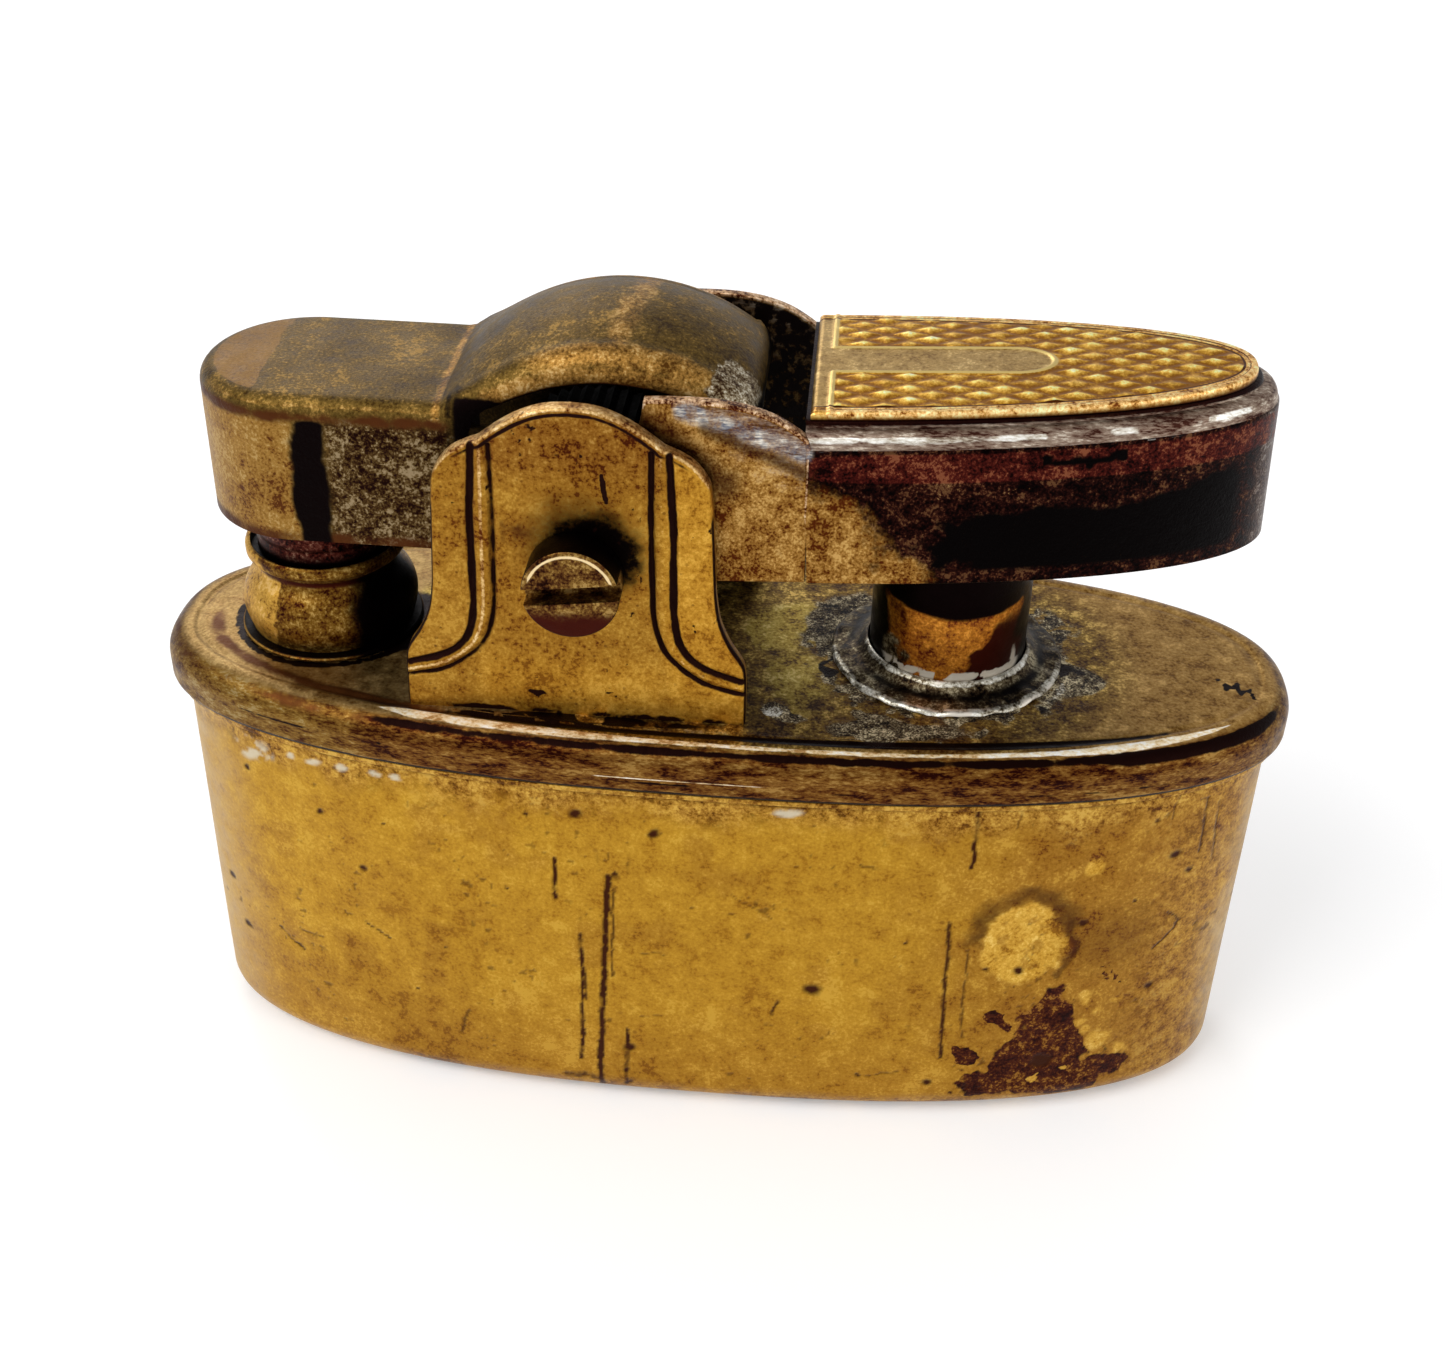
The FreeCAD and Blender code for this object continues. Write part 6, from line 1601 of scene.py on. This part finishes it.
# ------------------------------------------------------------------ stage and light
fl_m = bpy.data.materials.new("stage_floor"); fl_m.use_nodes = True
fb = fl_m.node_tree.nodes["Principled BSDF"]
fb.inputs["Base Color"].default_value = (0.86, 0.86, 0.86, 1)
fb.inputs["Roughness"].default_value = 0.85
fb.inputs["Emission Color"].default_value = (1, 1, 1, 1)
fb.inputs["Emission Strength"].default_value = 0.22
me = bpy.data.meshes.new("floor")
S = 1.2
me.from_pydata([(-S, -S, 0), (S, -S, 0), (S, S, 0), (-S, S, 0)], [], [(0, 1, 2, 3)])
floor = bpy.data.objects.new("floor", me); scene.collection.objects.link(floor)
me.materials.append(fl_m)

w = bpy.data.worlds.new("world") if not scene.world else scene.world
scene.world = w
w.use_nodes = True
nt = w.node_tree
for n_ in list(nt.nodes):
    nt.nodes.remove(n_)
out = nt.nodes.new("ShaderNodeOutputWorld")
bg = nt.nodes.new("ShaderNodeBackground")
tc = nt.nodes.new("ShaderNodeTexCoord")
sp = nt.nodes.new("ShaderNodeSeparateXYZ")
cr_ = nt.nodes.new("ShaderNodeValToRGB")
nt.links.new(tc.outputs["Generated"], sp.inputs[0])
nt.links.new(sp.outputs[2], cr_.inputs[0])
e = cr_.color_ramp.elements
e[0].position = 0.0; e[0].color = (0.80, 0.81, 0.83, 1)
e[1].position = 1.0; e[1].color = (0.70, 0.70, 0.70, 1)
k = cr_.color_ramp.elements.new(0.25); k.color = (0.62, 0.63, 0.65, 1)
k = cr_.color_ramp.elements.new(0.6); k.color = (0.60, 0.60, 0.61, 1)
nt.links.new(cr_.outputs[0], bg.inputs[0])
bg.inputs[1].default_value = 1.0
nt.links.new(bg.outputs[0], out.inputs[0])


def area(name, loc, size, power, tgt=(0, 0, 0.025), col=(1, 1, 1)):
    d = bpy.data.lights.new(name, "AREA")
    d.shape = "RECTANGLE"; d.size, d.size_y = size
    d.energy = power; d.color = col
    o = bpy.data.objects.new(name, d); scene.collection.objects.link(o)
    o.location = loc
    o.rotation_euler = (Vector(tgt) - Vector(loc)).to_track_quat("-Z", "Y").to_euler()
    return o


area("key", (-0.25, -0.22, 0.42), (0.30, 0.22), 1.3)
area("fill", (0.35, -0.25, 0.22), (0.20, 0.25), 0.35)
area("back", (-0.20, 0.40, 0.30), (0.20, 0.12), 0.45)

scene.view_settings.view_transform = "Standard"
scene.view_settings.look = "None"
